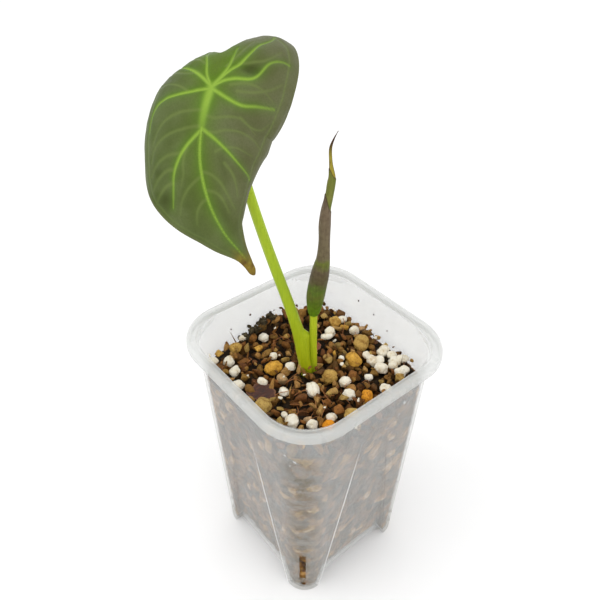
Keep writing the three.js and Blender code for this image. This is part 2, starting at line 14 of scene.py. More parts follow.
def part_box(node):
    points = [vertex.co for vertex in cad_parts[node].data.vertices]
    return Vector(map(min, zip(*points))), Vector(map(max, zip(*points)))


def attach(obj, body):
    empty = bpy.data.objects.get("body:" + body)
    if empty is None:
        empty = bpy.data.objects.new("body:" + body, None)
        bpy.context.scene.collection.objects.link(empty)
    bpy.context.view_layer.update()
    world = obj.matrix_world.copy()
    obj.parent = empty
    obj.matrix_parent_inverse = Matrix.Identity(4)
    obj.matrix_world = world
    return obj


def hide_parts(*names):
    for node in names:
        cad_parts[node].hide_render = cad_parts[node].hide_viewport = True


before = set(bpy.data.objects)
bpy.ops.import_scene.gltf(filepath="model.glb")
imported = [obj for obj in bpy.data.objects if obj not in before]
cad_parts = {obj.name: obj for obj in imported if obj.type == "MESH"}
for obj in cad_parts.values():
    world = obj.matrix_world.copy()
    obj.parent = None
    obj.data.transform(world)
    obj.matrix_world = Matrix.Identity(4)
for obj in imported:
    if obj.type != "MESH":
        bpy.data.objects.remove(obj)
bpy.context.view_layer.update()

pot_low, pot_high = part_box("pot")
AXIS = np.array([(pot_low.x + pot_high.x) / 2, (pot_low.y + pot_high.y) / 2, 0.0])
MM = 0.001
CURVE_STEPS = 24
ANY_SIDE = (1.0, 0.3, 0.2)
WHITE = (1.0, 1.0, 1.0)

# Pot, in millimetres, as in the part's source
RIM_HALF = 37.5
RIM_CORNER = 19
POT_HEIGHT = 107
LIP_DROP = 3.6
WALL = 0.9
WALL_TOP_HALF = 34.1
WALL_TOP_CORNER = 17
WALL_FOOT_HALF = 27.6
WALL_FOOT_CORNER = 8.4
FOOT_HEIGHT = 7
FOOT_INSIDE = 16.6
# The arch's curve beside a foot: how far out it starts and at what height, and how far in it levels off
ARCH_START = (1.4, 2)
ARCH_LEVELS = 4
ARCH_REACH = 45
SOLE = 1.2
PANEL_TOP = 90
PANEL_TOP_HALF = 4.2
PANEL_SLOPE = 0.15
PANEL_DEPTH = 1.6
CREASE = 0.55
SLOT_WIDTH = 2.5
SLOT_FROM = 31
SLOT_SPANS = ((2.2, 6.7), (8.5, 28))
SLOT_REACH = 20
DRAIN_RADIUS = 3
DRAIN_AWAY = 11
DRAIN_SPAN = (4, 11)
# Alpha of the plain plastic, and the alpha at a fold's painted highlight, which the rim reaches half way to
PLASTIC_ALPHA = 0.28
FOLD_HIGHLIGHT_ALPHA = 0.6
CORNER_STEPS = 14
FLANK = np.linspace(0, 1, 7)[1:]
WALL_ROWS = 60
# How far the wall ends under the rim, and how far the hollow inside goes on past it
LIP_COVERS = 1.6
OPEN_TOP = 4
# How far past a crease its line of painted highlight or painted shade lies, and the value that stands for no
# fold
FOLD_SHIFT = 0.3
NO_FOLD = 30.0

# The lip's section: way out from the rim and height, from the wall over the top and back underneath
LIP_PROFILE = (
    (-1.2, 103.4), (-0.55, 103.35), (-0.15, 103.7), (0.0, 104.6), (-0.1, 105.7), (-0.35, 106.5),
    (-0.8, 106.92), (-1.3, 107.0), (-1.9, 106.8), (-2.4, 106.66), (-2.9, 106.78), (-3.3, 106.72),
    (-3.7, 106.3), (-3.9, 105.4), (-4.05, 104.4), (-4.25, 103.2), (-4.35, 102.4), (-3.85, 102.3),
    (-3.6, 103.4), (-3.2, 105.3), (-2.5, 105.85), (-1.6, 105.8), (-1.2, 105.2),
)
LIP_WAVE = 0.12

# Potting mix, in millimetres: the gap to the wall, the level of its surface and the top of its body
GAP = 0.35
MIX_LEVEL = 90.5
MIX_REACH = 32
BODY_TOP = 88.6
BODY_ROWS = 120
BODY_SIDES = 300
# The crumbs pressed against the wall: the way round that they cover, the sizes of large and small ones,
# how deep the hollows between them are, and the draw above which a crumb is a pale one
BODY_AROUND = 222
PRESSED_SIZES = (3.9, 2.1)
PRESSED_HOLLOWS = (1.1, 0.2)
PALE_FROM = 0.86
# The heap round the stalks and the bank against the left back wall: middle, height and spread
HEAP_AT = (0.4, -2.2)
HEAP_HEIGHT = 2.8
HEAP_SPREAD = 24
BANK_AT = (-32.5, 5)
BANK_HEIGHT = 4.2
BANK_SPREAD = (5.5, 11)
# The mix's body takes only part of the heap, because the cut round the stalks fails with all of it
BODY_HEAP = 0.75

# Length, width and thickness of the slimmest and the stoutest crumb, in sizes, and their scatter in height
SLIM_CRUMB = (0.95, 0.65, 0.5)
STOUT_CRUMB = (1.5, 1.05, 0.9)
CRUMB_SCATTER = 0.45
CRUMB_FORMS = 16
CLAY_FORMS = 8
# Tone of each clay ball, from straw to orange, as in the photograph
CLAY_TONES = (0.7, 0.42, 0.66, 0.4, 0.48, 0.9, 1.0, 0.3, 0.36, 0.45)
# More grains that show in the photograph: place on the mix, width, length, turn and, for clay, tone
MORE_PERLITE = (
    (-13.8, -7.5, 3.0, 3.2, 0), (-5.8, -18.6, 3.0, 4.4, 20), (-9.9, 15.4, 3.0, 5.2, 60),
    (3.2, 11.2, 2.2, 2.6, 0), (8.0, 19.4, 3.2, 3.4, 0), (10.4, 25.2, 3.4, 4.0, 30),
    (13.4, 27.2, 3.4, 4.2, 80), (17.4, 28.6, 3.4, 6.0, 70), (12.7, 21.6, 3.6, 4.0, 30),
    (17.6, 23.6, 3.4, 3.8, 0), (21.9, 25.4, 3.4, 3.8, 20),
    (16.4, 12.4, 2.8, 3.4, 50), (-26.0, -26.2, 3.0, 4.4, 40), (11.0, -21.8, 2.2, 2.6, 0),
    (-29.4, -10.4, 2.6, 3.8, 80), (-14, 27, 3.2, 4.4, 60),
)
MORE_CLAY = (
    (-27.8, -22.4, 4.6, 5.2, 30, 0.5), (-26.4, -15.8, 4.4, 5.0, 0, 0.3), (-20.6, -9.2, 4.2, 4.8, 0, 0.6),
    (-9.7, 24.6, 4.4, 4.8, 0, 0.62), (8.0, 28.6, 4.6, 5.2, 20, 0.3), (23.4, 20.9, 4.6, 5.4, 70, 0.35),
    (12.4, -25.2, 3.8, 4.4, 0, 0.1), (18.6, -1.4, 4.2, 4.6, 40, 0.2), (-19.4, 22.4, 4.2, 4.6, 0, 0.25),
    (20.6, 14.8, 4.0, 4.4, 0, 0.15), (1.4, 6.8, 3.8, 4.4, 0, 0.2), (-9.4, -5, 4.0, 4.6, 30, 0.25),
)
# How much larger a grain is drawn than its node, and how high the others lie over the mix's level
GRAIN_GROWTH = 1.03
GRAIN_RISE = 1.7
CHIP_SIDES = 72
CHIP_ROWS = 14
# Coir fibres that show in the photograph: start and end on the mix, sideways bow, lift
FIBRES = (
    ((0.7, 0.0), (-0.2, -13.2), 0.8, 0.9), ((7.8, -4.1), (21.6, -6.5), 1.0, 1.0),
    ((13.8, -7.4), (20.9, -14.4), -1.2, 0.7), ((10.9, -19.7), (15.5, -14.7), 0.5, 0.5),
    ((6.2, -13.8), (9.6, -6.8), -0.8, 0.4), ((8.5, -17.5), (14.5, -10.5), 1.2, 0.5),
    ((-14.9, 28.0), (-6.5, 20.5), -0.8, 1.6), ((1.8, -19.0), (4.6, -11.0), 0.6, 0.6),
)
LOOSE_FIBRES = 22
FIBRE_REACH = 25
FIBRE_RADIUS = 0.13
FIBRE_RISE = 1.5

# Plant, in millimetres, as in the part's source
VIEW_SIDE = np.array([0.632, 0.775, 0.0])
VIEW_TOWARDS = np.array([0.775, -0.632, 0.0])
CORM_TOP = 84
HUB = np.array([-17, -22.4, 196.0])
BLADE_AZIMUTH = math.radians(46)
BLADE_RISE = math.radians(26)
BLADE_THICK = 0.62
CURL_POWER = 1.6
CURL_SLICES = 24

# Camera, fitted to the photograph
CAMERA_AZIMUTH = math.radians(50.78)
CAMERA_RISE = math.radians(38.06)
CAMERA_AWAY = 240.04
CAMERA_TARGET = np.array([-18.97, 9.48, 107.37])
LENS = 38.27
SENSOR = 36.0

# Stage, in metres
FLOOR_RADIUS = 4.0
SKY_STRENGTH = 1.1
LAMP_AIM = (0, 0, 0.11)


# Frame and meshes
def in_frame(points):
    """Millimetres round the pot's axis to metres in the frame."""
    return np.asarray(points, float) * MM + AXIS


def make_mesh(name, points, faces, fields=None):
    """A mesh from millimetres, with a value for each point in each of its fields."""
    mesh = bpy.data.meshes.new(name)
    mesh.from_pydata(in_frame(points).tolist(), [], faces)
    mesh.validate()
    for key, values in (fields or {}).items():
        layer = mesh.attributes.new(key, "FLOAT", "POINT")
        layer.data.foreach_set("value", np.asarray(values, np.float32))
    return mesh


def add_piece(name, mesh, material, replaces=(), sharp=None):
    """Shows the mesh as a piece that rides on the one body."""
    mesh.name = name
    mesh.materials.clear()
    mesh.materials.append(material)
    mesh.shade_smooth()
    if sharp is not None:
        mesh.set_sharp_from_angle(angle=math.radians(sharp))
    piece = bpy.data.objects.new(name, mesh)
    bpy.context.scene.collection.objects.link(piece)
    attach(piece, "root")
    if replaces:
        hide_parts(*replaces)
    return piece


def loft_faces(rows, count, round_back=False):
    """Quads between closed rows of points, capped at both ends or going round back to the first row."""
    faces = []
    total = rows * count
    for row in range(rows if round_back else rows - 1):
        for k in range(count):
            a = row * count + k
            b = row * count + (k + 1) % count
            faces.append((a, b, (b + count) % total, (a + count) % total))
    if not round_back:
        faces.append(tuple(reversed(range(count))))
        faces.append(tuple(range(total - count, total)))
    return faces


def loft(name, rings, fields=None, round_back=False):
    """A closed body through rings with the same number of points."""
    return make_mesh(name, np.concatenate(rings), loft_faces(len(rings), len(rings[0]), round_back), fields)


def cut(mesh, others, operation="DIFFERENCE"):
    """The mesh with other meshes taken away from it or joined to it, one after another."""
    for other in others:
        body = bpy.data.objects.new("body", mesh)
        tool = bpy.data.objects.new("tool", other)
        for thing in (body, tool):
            bpy.context.scene.collection.objects.link(thing)
        step = body.modifiers.new("step", "BOOLEAN")
        step.operation = operation
        step.solver = "EXACT"
        step.object = tool
        bpy.context.view_layer.update()
        view = body.evaluated_get(bpy.context.evaluated_depsgraph_get())
        made = bpy.data.meshes.new_from_object(view)
        carry_fields([mesh, other], made)
        mesh = made
        bpy.data.objects.remove(body)
        bpy.data.objects.remove(tool)
    return mesh


def carry_fields(sources, target):
    """Gives each vertex of a cut mesh the fields of the nearest vertex it was made from."""
    names = sorted({layer.name for m in sources for layer in m.attributes
                    if layer.domain == "POINT" and layer.data_type == "FLOAT"})
    rows = [v.co for m in sources for v in m.vertices]
    tree = KDTree(len(rows))
    for k, row in enumerate(rows):
        tree.insert(row, k)
    tree.balance()
    nearest = np.array([tree.find(v.co)[1] for v in target.vertices])
    for name in names:
        values = []
        for m in sources:
            held = np.zeros(len(m.vertices), np.float32)
            if name in m.attributes:
                m.attributes[name].data.foreach_get("value", held)
            values.append(held)
        layer = target.attributes.get(name) or target.attributes.new(name, "FLOAT", "POINT")
        layer.data.foreach_set("value", np.concatenate(values)[nearest])


def joined(name, parts):
    """One mesh of many small ones. A part has its points, its faces and one value for each of its fields."""
    points, faces, fields = [], [], {}
    start = 0
    for part_points, part_faces, values in parts:
        points.append(part_points)
        faces += [tuple(k + start for k in face) for face in part_faces]
        for key, value in values.items():
            fields.setdefault(key, []).append(np.full(len(part_points), value))
        start += len(part_points)
    return make_mesh(name, np.concatenate(points), faces,
                     {key: np.concatenate(rows) for key, rows in fields.items()})


def node_mesh(name):
    """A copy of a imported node's mesh with its corners joined, so that it can be cut away."""
    bm = bmesh.new()
    bm.from_mesh(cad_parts[name].data)
    bmesh.ops.remove_doubles(bm, verts=bm.verts, dist=1e-6)
    mesh = bpy.data.meshes.new(name)
    bm.to_mesh(mesh)
    bm.free()
    return mesh


def smoothstep(low, high, x):
    t = np.clip((x - low) / (high - low), 0, 1)
    return t * t * (3 - 2 * t)


def circle(angles):
    """Flat points at these angles, one unit from the middle."""
    return np.stack([np.cos(angles), np.sin(angles)], 1)


def heading(turn):
    return np.array([math.cos(turn), math.sin(turn)])


def level_ring(ring, z):
    """Flat points lifted to one height."""
    return np.column_stack([ring, np.full(len(ring), z)])


def hermite(t, start, start_slope, end, end_slope):
    t2, t3 = t * t, t ** 3
    return ((2 * t3 - 3 * t2 + 1) * start + (t3 - 2 * t2 + t) * start_slope
            + (3 * t2 - 2 * t3) * end + (t3 - t2) * end_slope)


def curve_through(points, count):
    """Count points of a smooth curve through the given ones, spaced evenly along it."""
    points = np.asarray(points, float)
    padded = np.vstack([2 * points[0] - points[1], points, 2 * points[-1] - points[-2]])
    dense = []
    for i in range(len(points) - 1):
        p0, p1, p2, p3 = padded[i:i + 4]
        t = np.linspace(0, 1, CURVE_STEPS, endpoint=False)[:, None]
        dense.append(0.5 * (2 * p1 + (p2 - p0) * t + (2 * p0 - 5 * p1 + 4 * p2 - p3) * t ** 2
                            + (3 * p1 - p0 - 3 * p2 + p3) * t ** 3))
    dense = np.vstack([*dense, points[-1:]])
    way = np.concatenate([[0], np.cumsum(np.linalg.norm(np.diff(dense, axis=0), axis=1))])
    at = np.linspace(0, way[-1], count)
    return np.stack([np.interp(at, way, dense[:, k]) for k in range(dense.shape[1])], 1)


def tube_rings(path, radius, sides, side_start=ANY_SIDE):
    """Rings round a path. The radius is a function of the way along and the angle."""
    path = np.asarray(path, float)
    ahead = np.gradient(path, axis=0)
    ahead /= np.linalg.norm(ahead, axis=1)[:, None]
    side = np.array(side_start)
    angles = np.linspace(0, 2 * math.pi, sides, endpoint=False)
    rings = []
    for k, (at, way) in enumerate(zip(path, ahead)):
        side = side - way * (side @ way)
        side /= np.linalg.norm(side)
        up = np.cross(way, side)
        r = radius(k / (len(path) - 1), angles)
        rings.append(at + np.outer(r * np.cos(angles), side) + np.outer(r * np.sin(angles), up))
    return rings


# Shader helpers
class Shader:
    """A procedural material built on one Principled shader."""

    def __init__(self, name, **sockets):
        self.material = bpy.data.materials.new(name)
        self.material.use_nodes = True
        self.tree = self.material.node_tree
        self.surface = next(n for n in self.tree.nodes if n.type == "BSDF_PRINCIPLED")
        self.place = self.tree.nodes.new("ShaderNodeTexCoord").outputs["Object"]
        self.feed(self.surface, **sockets)

    def put(self, value, socket):
        """Gives a socket a value, or links it to another socket."""
        if isinstance(value, bpy.types.NodeSocket):
            self.tree.links.new(value, socket)
        else:
            socket.default_value = (*value, 1) if socket.type == "RGBA" else value

    def feed(self, node, **values):
        for key, value in values.items():
            self.put(value, node.inputs[key.replace("_", " ")])

    def attribute(self, name):
        node = self.tree.nodes.new("ShaderNodeAttribute")
        node.attribute_name = name
        return node.outputs["Fac"]

    def noise(self, size, detail=3.0, rough=0.55, stretch=None, distortion=0.0):
        """Noise with features of about this size in millimetres."""
        node = self.tree.nodes.new("ShaderNodeTexNoise")
        self.feed(node, Vector=self.stretched(stretch), Scale=1 / (size * MM), Detail=detail,
                  Roughness=rough, Distortion=distortion)
        return node.outputs["Fac"]

    def cells(self, size):
        """Way to the nearest of scattered points about this far apart in millimetres."""
        node = self.tree.nodes.new("ShaderNodeTexVoronoi")
        self.feed(node, Vector=self.place, Scale=1 / (size * MM))
        return node.outputs["Distance"]

    def stretched(self, stretch):
        if stretch is None:
            return self.place
        node = self.tree.nodes.new("ShaderNodeMapping")
        self.feed(node, Vector=self.place, Scale=stretch)
        return node.outputs["Vector"]

    def ramp(self, source, stops):
        """Colours at stops along a value."""
        node = self.tree.nodes.new("ShaderNodeValToRGB")
        while len(node.color_ramp.elements) < len(stops):
            node.color_ramp.elements.new(0.5)
        for element, (place, colour) in zip(node.color_ramp.elements, stops):
            element.position = place
            element.color = (*colour, 1)
        self.put(source, node.inputs["Fac"])
        return node.outputs["Color"]

    def span(self, source, low, high, to_low=0.0, to_high=1.0):
        """A value eased from one pair of limits to another."""
        node = self.tree.nodes.new("ShaderNodeMapRange")
        node.interpolation_type = "SMOOTHSTEP"
        self.feed(node, Value=source, From_Min=low, From_Max=high, To_Min=to_low, To_Max=to_high)
        return node.outputs["Result"]

    def math(self, operation, a, b=0.0):
        node = self.tree.nodes.new("ShaderNodeMath")
        node.operation = operation
        for socket, value in zip(node.inputs, (a, b)):
            self.put(value, socket)
        return node.outputs["Value"]

    def product(self, a, b):
        return self.math("MULTIPLY", a, b)

    def mix(self, factor, a, b, blend="MIX"):
        node = self.tree.nodes.new("ShaderNodeMix")
        node.data_type = "RGBA"
        node.blend_type = blend
        colour_inputs = [s for s in node.inputs if s.type == "RGBA"]
        factor_input = next(s for s in node.inputs if s.name == "Factor" and s.type == "VALUE")
        for socket, value in zip((factor_input, *colour_inputs), (factor, a, b)):
            self.put(value, socket)
        return next(s for s in node.outputs if s.type == "RGBA")

    def times(self, a, b, factor=1.0):
        """Two colours multiplied."""
        return self.mix(factor, a, b, "MULTIPLY")

    def bump(self, height, depth):
        """Bump of about this depth in millimetres, on top of any earlier bump."""
        node = self.tree.nodes.new("ShaderNodeBump")
        self.feed(node, Height=height, Strength=1.0, Distance=depth * MM)
        earlier = self.surface.inputs["Normal"].links
        if earlier:
            self.put(earlier[0].from_socket, node.inputs["Normal"])
        self.put(node.outputs["Normal"], self.surface.inputs["Normal"])

    def colour(self, source):
        self.put(source, self.surface.inputs["Base Color"])

    def roughness(self, source):
        self.put(source, self.surface.inputs["Roughness"])


# Materials
def plastic_material():
    """Frosted clear plastic: a milk-white haze in soft clouds, a painted highlight on the folds of one side
    and painted shade in the creases of the other.
    """
    s = Shader("clear_plastic", IOR=1.46, Specular_IOR_Level=0.5)
    haze = s.noise(9, 3, 0.55, (1, 1, 0.6))
    clouds = s.ramp(haze, [(0.3, (0.63, 0.645, 0.64)), (0.7, (0.72, 0.73, 0.715))])
    pink = s.mix(s.span(s.noise(6, 2, 0.5), 0.56, 0.75, 0, 0.4), clouds, (0.76, 0.7, 0.62))
    marks = s.span(s.noise(3.2, 4, 0.65, (0.6, 0.6, 1.5), 0.5), 0.4, 0.6, 1, 0.25)
    streaks = s.span(s.noise(4, 3, 0.6, (1, 1, 0.4), 0.4), 0.35, 0.62, 0.4, 0)
    streaked = s.mix(streaks, pink, (0.5, 0.5, 0.47))
    damp = s.mix(s.product(s.attribute("wet"), marks), streaked, (0.36, 0.33, 0.26))
    # Painted highlight along the folds of one side, white and more opaque, and painted shade in the creases
    # of the other
    near = s.span(s.math("ABSOLUTE", s.attribute("fold")), 0.12, 0.42, 1, 0)
    painted_fold_highlight = s.product(near, s.attribute("lit"))
    groove = s.product(near, s.product(s.attribute("dark"), 0.6))
    rim = s.attribute("rim")
    lit = s.mix(painted_fold_highlight, s.mix(rim, damp, (0.64, 0.65, 0.63)), WHITE)
    s.colour(s.mix(groove, lit, (0.22, 0.22, 0.22)))
    rim_milk_and_fold_highlight = s.math("MAXIMUM", painted_fold_highlight, s.product(rim, 0.5))
    s.put(s.span(rim_milk_and_fold_highlight, 0, 1, PLASTIC_ALPHA, FOLD_HIGHLIGHT_ALPHA), s.surface.inputs["Alpha"])
    s.roughness(s.span(s.noise(5, 3), 0.35, 0.7, 0.26, 0.4))
    s.bump(s.noise(12, 2, 0.5, (1, 1, 0.35)), 0.08)
    return s.material


def mix_material(name, fine):
    """Bark and coir crumbs, each with its own tone and its own place from red-brown to ochre."""
    s = Shader(name, Specular_IOR_Level=0.22)
    tone = s.attribute("tone")
    red = s.ramp(tone, [
        (0.0, (0.006, 0.004, 0.002)), (0.2, (0.04, 0.016, 0.005)), (0.45, (0.14, 0.05, 0.012)),
        (0.7, (0.25, 0.1, 0.022)), (0.88, (0.4, 0.22, 0.07)), (1.0, (0.8, 0.75, 0.64)),
    ])
    ochre = s.ramp(tone, [
        (0.0, (0.008, 0.006, 0.003)), (0.2, (0.05, 0.028, 0.007)), (0.45, (0.16, 0.085, 0.018)),
        (0.7, (0.3, 0.17, 0.036)), (0.88, (0.46, 0.3, 0.1)), (1.0, (0.8, 0.75, 0.64)),
    ])
    grain = s.noise(fine, 4, 0.65, (1, 1, 1.6), 0.4)
    shade = s.ramp(grain, [(0.25, (0.5, 0.46, 0.42)), (0.5, (0.98, 0.96, 0.93)), (0.75, (1.5, 1.42, 1.28))])
    s.colour(s.times(s.mix(s.attribute("hue"), red, ochre), shade))
    s.roughness(s.span(s.noise(1.5, 3), 0.3, 0.7, 0.55, 0.85))
    s.bump(grain, 0.3)
    return s.material


def perlite_material():
    """Puffed white perlite: chalky and smooth, with shallow pits darkened by painted shade and a few dusty
    stains.
    """
    s = Shader("perlite", Roughness=0.8, Specular_IOR_Level=0.2)
    stain = s.noise(2.4, 4, 0.6)
    pits = s.cells(0.7)
    white = s.ramp(stain, [(0.3, (0.6, 0.47, 0.3)), (0.44, (0.78, 0.71, 0.56)), (0.68, (0.86, 0.82, 0.72))])
    # Painted shade in the middle of each pit
    pit_shade = s.ramp(pits, [(0.0, (0.84, 0.8, 0.72)), (0.25, WHITE)])
    s.colour(s.times(white, pit_shade, 0.5))
    s.bump(pits, 0.1)
    s.bump(s.noise(0.5, 3), 0.07)
    return s.material


def clay_material():
    """Fired clay balls and tan stones, from straw to orange by tone, with darker flecks."""
    s = Shader("clay", Specular_IOR_Level=0.15)
    base = s.ramp(s.attribute("tone"), [
        (0.0, (0.26, 0.17, 0.05)), (0.35, (0.46, 0.3, 0.085)), (0.7, (0.6, 0.32, 0.045)),
        (1.0, (0.7, 0.26, 0.012)),
    ])
    patches = s.noise(2.2, 4, 0.6)
    shade = s.ramp(patches, [(0.3, (0.55, 0.45, 0.34)), (0.5, WHITE), (0.72, (1.25, 1.28, 1.25))])
    flecks = s.ramp(s.noise(0.45, 2), [(0.33, (0.45, 0.35, 0.28)), (0.42, WHITE)])
    s.colour(s.times(s.times(base, shade), flecks))
    s.roughness(s.span(patches, 0.3, 0.7, 0.75, 0.5))
    s.bump(s.noise(0.9, 4, 0.6), 0.2)
    return s.material


def fibre_material():
    """Thin orange-brown coir fibres, paler along some stretches."""
    s = Shader("coir_fibre", Roughness=0.6)
    s.colour(s.ramp(s.noise(2.5, 3), [
        (0.3, (0.16, 0.045, 0.012)), (0.6, (0.42, 0.16, 0.04)), (0.8, (0.62, 0.36, 0.14)),
    ]))
    s.bump(s.noise(0.3, 2), 0.05)
    return s.material


def moss_material():
    """Dark olive-brown moss."""
    s = Shader("moss", Roughness=0.85, Specular_IOR_Level=0.2)
    s.colour(s.ramp(s.noise(1.2, 3), [
        (0.3, (0.016, 0.012, 0.007)), (0.55, (0.06, 0.045, 0.022)), (0.75, (0.13, 0.1, 0.05)),
    ]))
    s.bump(s.noise(0.3, 2), 0.05)
    return s.material


def water_material():
    """Clear drops with the faintest ripple."""
    s = Shader("water_drop", IOR=1.33, Transmission_Weight=1.0)
    s.colour(s.ramp(s.noise(2, 2), [(0.3, (0.97, 0.98, 0.98)), (0.7, WHITE)]))
    s.roughness(s.span(s.noise(1.5, 2), 0.3, 0.7, 0.02, 0.06))
    return s.material


def bark_material():
    """Dark reddish bark with long fibres and lighter worn edges."""
    s = Shader("bark", Specular_IOR_Level=0.4)
    fibres = s.noise(0.8, 4, 0.6, (1, 0.25, 1), 0.3)
    base = s.ramp(fibres, [
        (0.3, (0.022, 0.008, 0.006)), (0.55, (0.075, 0.024, 0.014)), (0.75, (0.17, 0.066, 0.035)),
    ])
    worn = s.span(s.attribute("edge"), 0.5, 1.0, 0, 0.75)
    tint = s.mix(s.attribute("tone"), WHITE, (3.2, 2.5, 1.7))
    s.colour(s.mix(worn, s.times(base, tint), (0.24, 0.11, 0.055)))
    s.roughness(s.span(fibres, 0.3, 0.7, 0.45, 0.75))
    s.bump(fibres, 0.3)
    return s.material


def corm_material():
    """The corm and its roots: tan skin with darker rings."""
    s = Shader("corm_skin", Roughness=0.75)
    rings = s.noise(1.1, 3, 0.6, (0.4, 0.4, 2.0))
    s.colour(s.ramp(rings, [(0.3, (0.2, 0.12, 0.06)), (0.55, (0.46, 0.34, 0.2)), (0.75, (0.7, 0.6, 0.42))]))
    s.bump(rings, 0.2)
    return s.material


def stalk_material(name, low, high, top):
    """A smooth green stalk with fine lengthwise streaks, from its foot to its top."""
    s = Shader(name, Specular_IOR_Level=0.25, Specular_Tint=(0.9, 0.95, 0.5))
    streaks = s.noise(0.55, 3, 0.6, (1, 1, 0.06))
    base = s.ramp(s.attribute("way"), [(0.0, low), (0.42, high), (1.0, top)])
    shade = s.ramp(streaks, [(0.3, (0.84, 0.88, 0.8)), (0.7, (1.1, 1.08, 1.05))])
    spots = s.ramp(s.noise(0.9, 3, 0.7), [(0.28, (0.72, 0.78, 0.7)), (0.4, WHITE)])
    s.colour(s.times(s.times(base, shade, 0.9), spots))
    s.roughness(s.span(streaks, 0.3, 0.7, 0.34, 0.5))
    s.bump(streaks, 0.06)
    return s.material


def blade_material():
    """The leaf's skin: olive, with painted sheen making it greyer on the right, lime veins with a soft green
    glow, and a brown tip.
    """
    s = Shader("leaf_skin", Specular_IOR_Level=0.2, Specular_Tint=(0.85, 0.9, 0.6))
    patches = s.noise(9, 3, 0.5)
    fine = s.noise(0.5, 3, 0.6)
    green = s.ramp(patches, [
        (0.32, (0.056, 0.078, 0.018)), (0.5, (0.076, 0.102, 0.028)), (0.68, (0.1, 0.126, 0.044)),
    ])
    grey = s.ramp(patches, [
        (0.32, (0.086, 0.09, 0.036)), (0.5, (0.106, 0.11, 0.05)), (0.68, (0.124, 0.128, 0.066)),
    ])
    # Painted sheen: the skin turns to the grey olive towards the right side
    olive = s.mix(s.attribute("side"), green, grey)
    olive = s.mix(s.product(s.attribute("crown"), 0.8), olive, (0.085, 0.15, 0.006))
    olive = s.mix(s.span(fine, 0.35, 0.75, 0, 0.3), olive, (0.05, 0.066, 0.016))
    # Painted shade in the blade's hollows
    olive = s.mix(s.product(s.attribute("hollow"), 0.75), olive, (0.03, 0.04, 0.006))
    glow = s.mix(s.product(s.attribute("glow"), 0.9), olive, (0.085, 0.21, 0.006))
    faint = s.mix(s.attribute("faint"), glow, (0.155, 0.2, 0.055))
    veins = s.mix(s.attribute("vein"), faint, (0.235, 0.375, 0.045))
    rim = s.mix(s.span(s.attribute("edge"), 0.965, 0.998, 0, 0.5), veins, (0.12, 0.13, 0.05))
    brown = s.ramp(s.noise(2.2, 3), [
        (0.3, (0.1, 0.05, 0.008)), (0.6, (0.22, 0.15, 0.016)), (0.8, (0.28, 0.23, 0.024)),
    ])
    upper = s.mix(s.attribute("tip"), rim, brown)
    under = s.ramp(patches, [(0.3, (0.08, 0.045, 0.034)), (0.7, (0.13, 0.085, 0.058))])
    under = s.mix(s.product(s.attribute("vein"), 0.85), under, (0.26, 0.33, 0.08))
    s.colour(s.mix(s.attribute("under"), upper, under))
    s.roughness(s.span(patches, 0.3, 0.7, 0.42, 0.55))
    s.bump(fine, 0.03)
    s.bump(s.cells(0.8), 0.02)
    return s.material


def roll_material():
    """The rolled leaf: green foot and bands, a grey-brown middle, an olive lap and a dry brown tip."""
    s = Shader("rolled_leaf_skin", Specular_IOR_Level=0.2, Specular_Tint=(1, 0.9, 0.75))
    wave = s.product(s.math("SUBTRACT", s.noise(3.2, 3), 0.5), 0.09)
    height = s.math("ADD", s.attribute("height"), wave)
    base = s.ramp(height, [
        (0.0, (0.1, 0.21, 0.004)), (0.08, (0.085, 0.15, 0.006)), (0.14, (0.1, 0.12, 0.018)),
        (0.18, (0.085, 0.14, 0.014)), (0.22, (0.088, 0.075, 0.03)), (0.295, (0.1, 0.076, 0.044)),
        (0.325, (0.12, 0.15, 0.02)), (0.36, (0.13, 0.108, 0.06)), (0.6, (0.15, 0.115, 0.075)),
        (0.7, (0.12, 0.085, 0.055)),
    ])
    mottle = s.ramp(s.noise(1.3, 3, 0.6), [(0.3, (0.75, 0.7, 0.68)), (0.6, (1.06, 1.06, 1.02))])
    base = s.times(base, mottle)
    middle = s.ramp(s.noise(3, 3), [(0.35, (0.115, 0.145, 0.016)), (0.7, (0.175, 0.175, 0.04))])
    tip = s.ramp(s.noise(2.4, 3, 0.6, (1, 1, 0.35)), [
        (0.35, (0.16, 0.085, 0.015)), (0.55, (0.34, 0.29, 0.035)), (0.75, (0.4, 0.36, 0.05)),
    ])
    tip = s.mix(s.span(s.attribute("height"), 0.86, 0.95), tip, (0.05, 0.02, 0.008))
    body = s.mix(s.attribute("middle"), base, middle)
    body = s.mix(s.attribute("top"), body, tip)
    lines = s.noise(0.5, 3, 0.6, (1, 1, 0.05))
    streaks = s.ramp(lines, [(0.3, (0.74, 0.72, 0.7)), (0.7, (1.14, 1.12, 1.08))])
    body = s.times(body, streaks, 0.7)
    s.colour(s.mix(s.attribute("brink"), body, (0.045, 0.022, 0.012)))
    s.roughness(s.span(s.noise(3, 2), 0.3, 0.7, 0.45, 0.6))
    s.bump(lines, 0.05)
    return s.material


def plain_material(name, colour, roughness):
    """A pale matt ground for the stage, with the faintest mottling."""
    s = Shader(name, Roughness=roughness, Specular_IOR_Level=0.1)
    s.colour(s.ramp(s.noise(120, 2), [(0.3, tuple(0.985 * c for c in colour)), (0.7, colour)]))
    return s.material


# Pot
def tapered(foot, top, z):
    """A measure of the wall that changes evenly from its foot up to the lip."""
    return foot + (top - foot) * z / (POT_HEIGHT - LIP_DROP)


def wall_half(z):
    return tapered(WALL_FOOT_HALF, WALL_TOP_HALF, z)


def wall_corner(z):
    return tapered(WALL_FOOT_CORNER, WALL_TOP_CORNER, z)


def side_places(straight, panel):
    """Places along one straight side, with lines that follow the panel's two creases."""
    bend = CREASE * np.array([1.6, 1, 0.5, 0, -0.5, -1])
    inner = np.array([0, 0.35, 0.7]) * (panel - CREASE * 1.5)
    right = np.concatenate([inner, np.sort(panel + bend)])
    right = np.concatenate([right, right[-1] + (straight - right[-1]) * FLANK])
    return np.concatenate([-right[:0:-1], right])


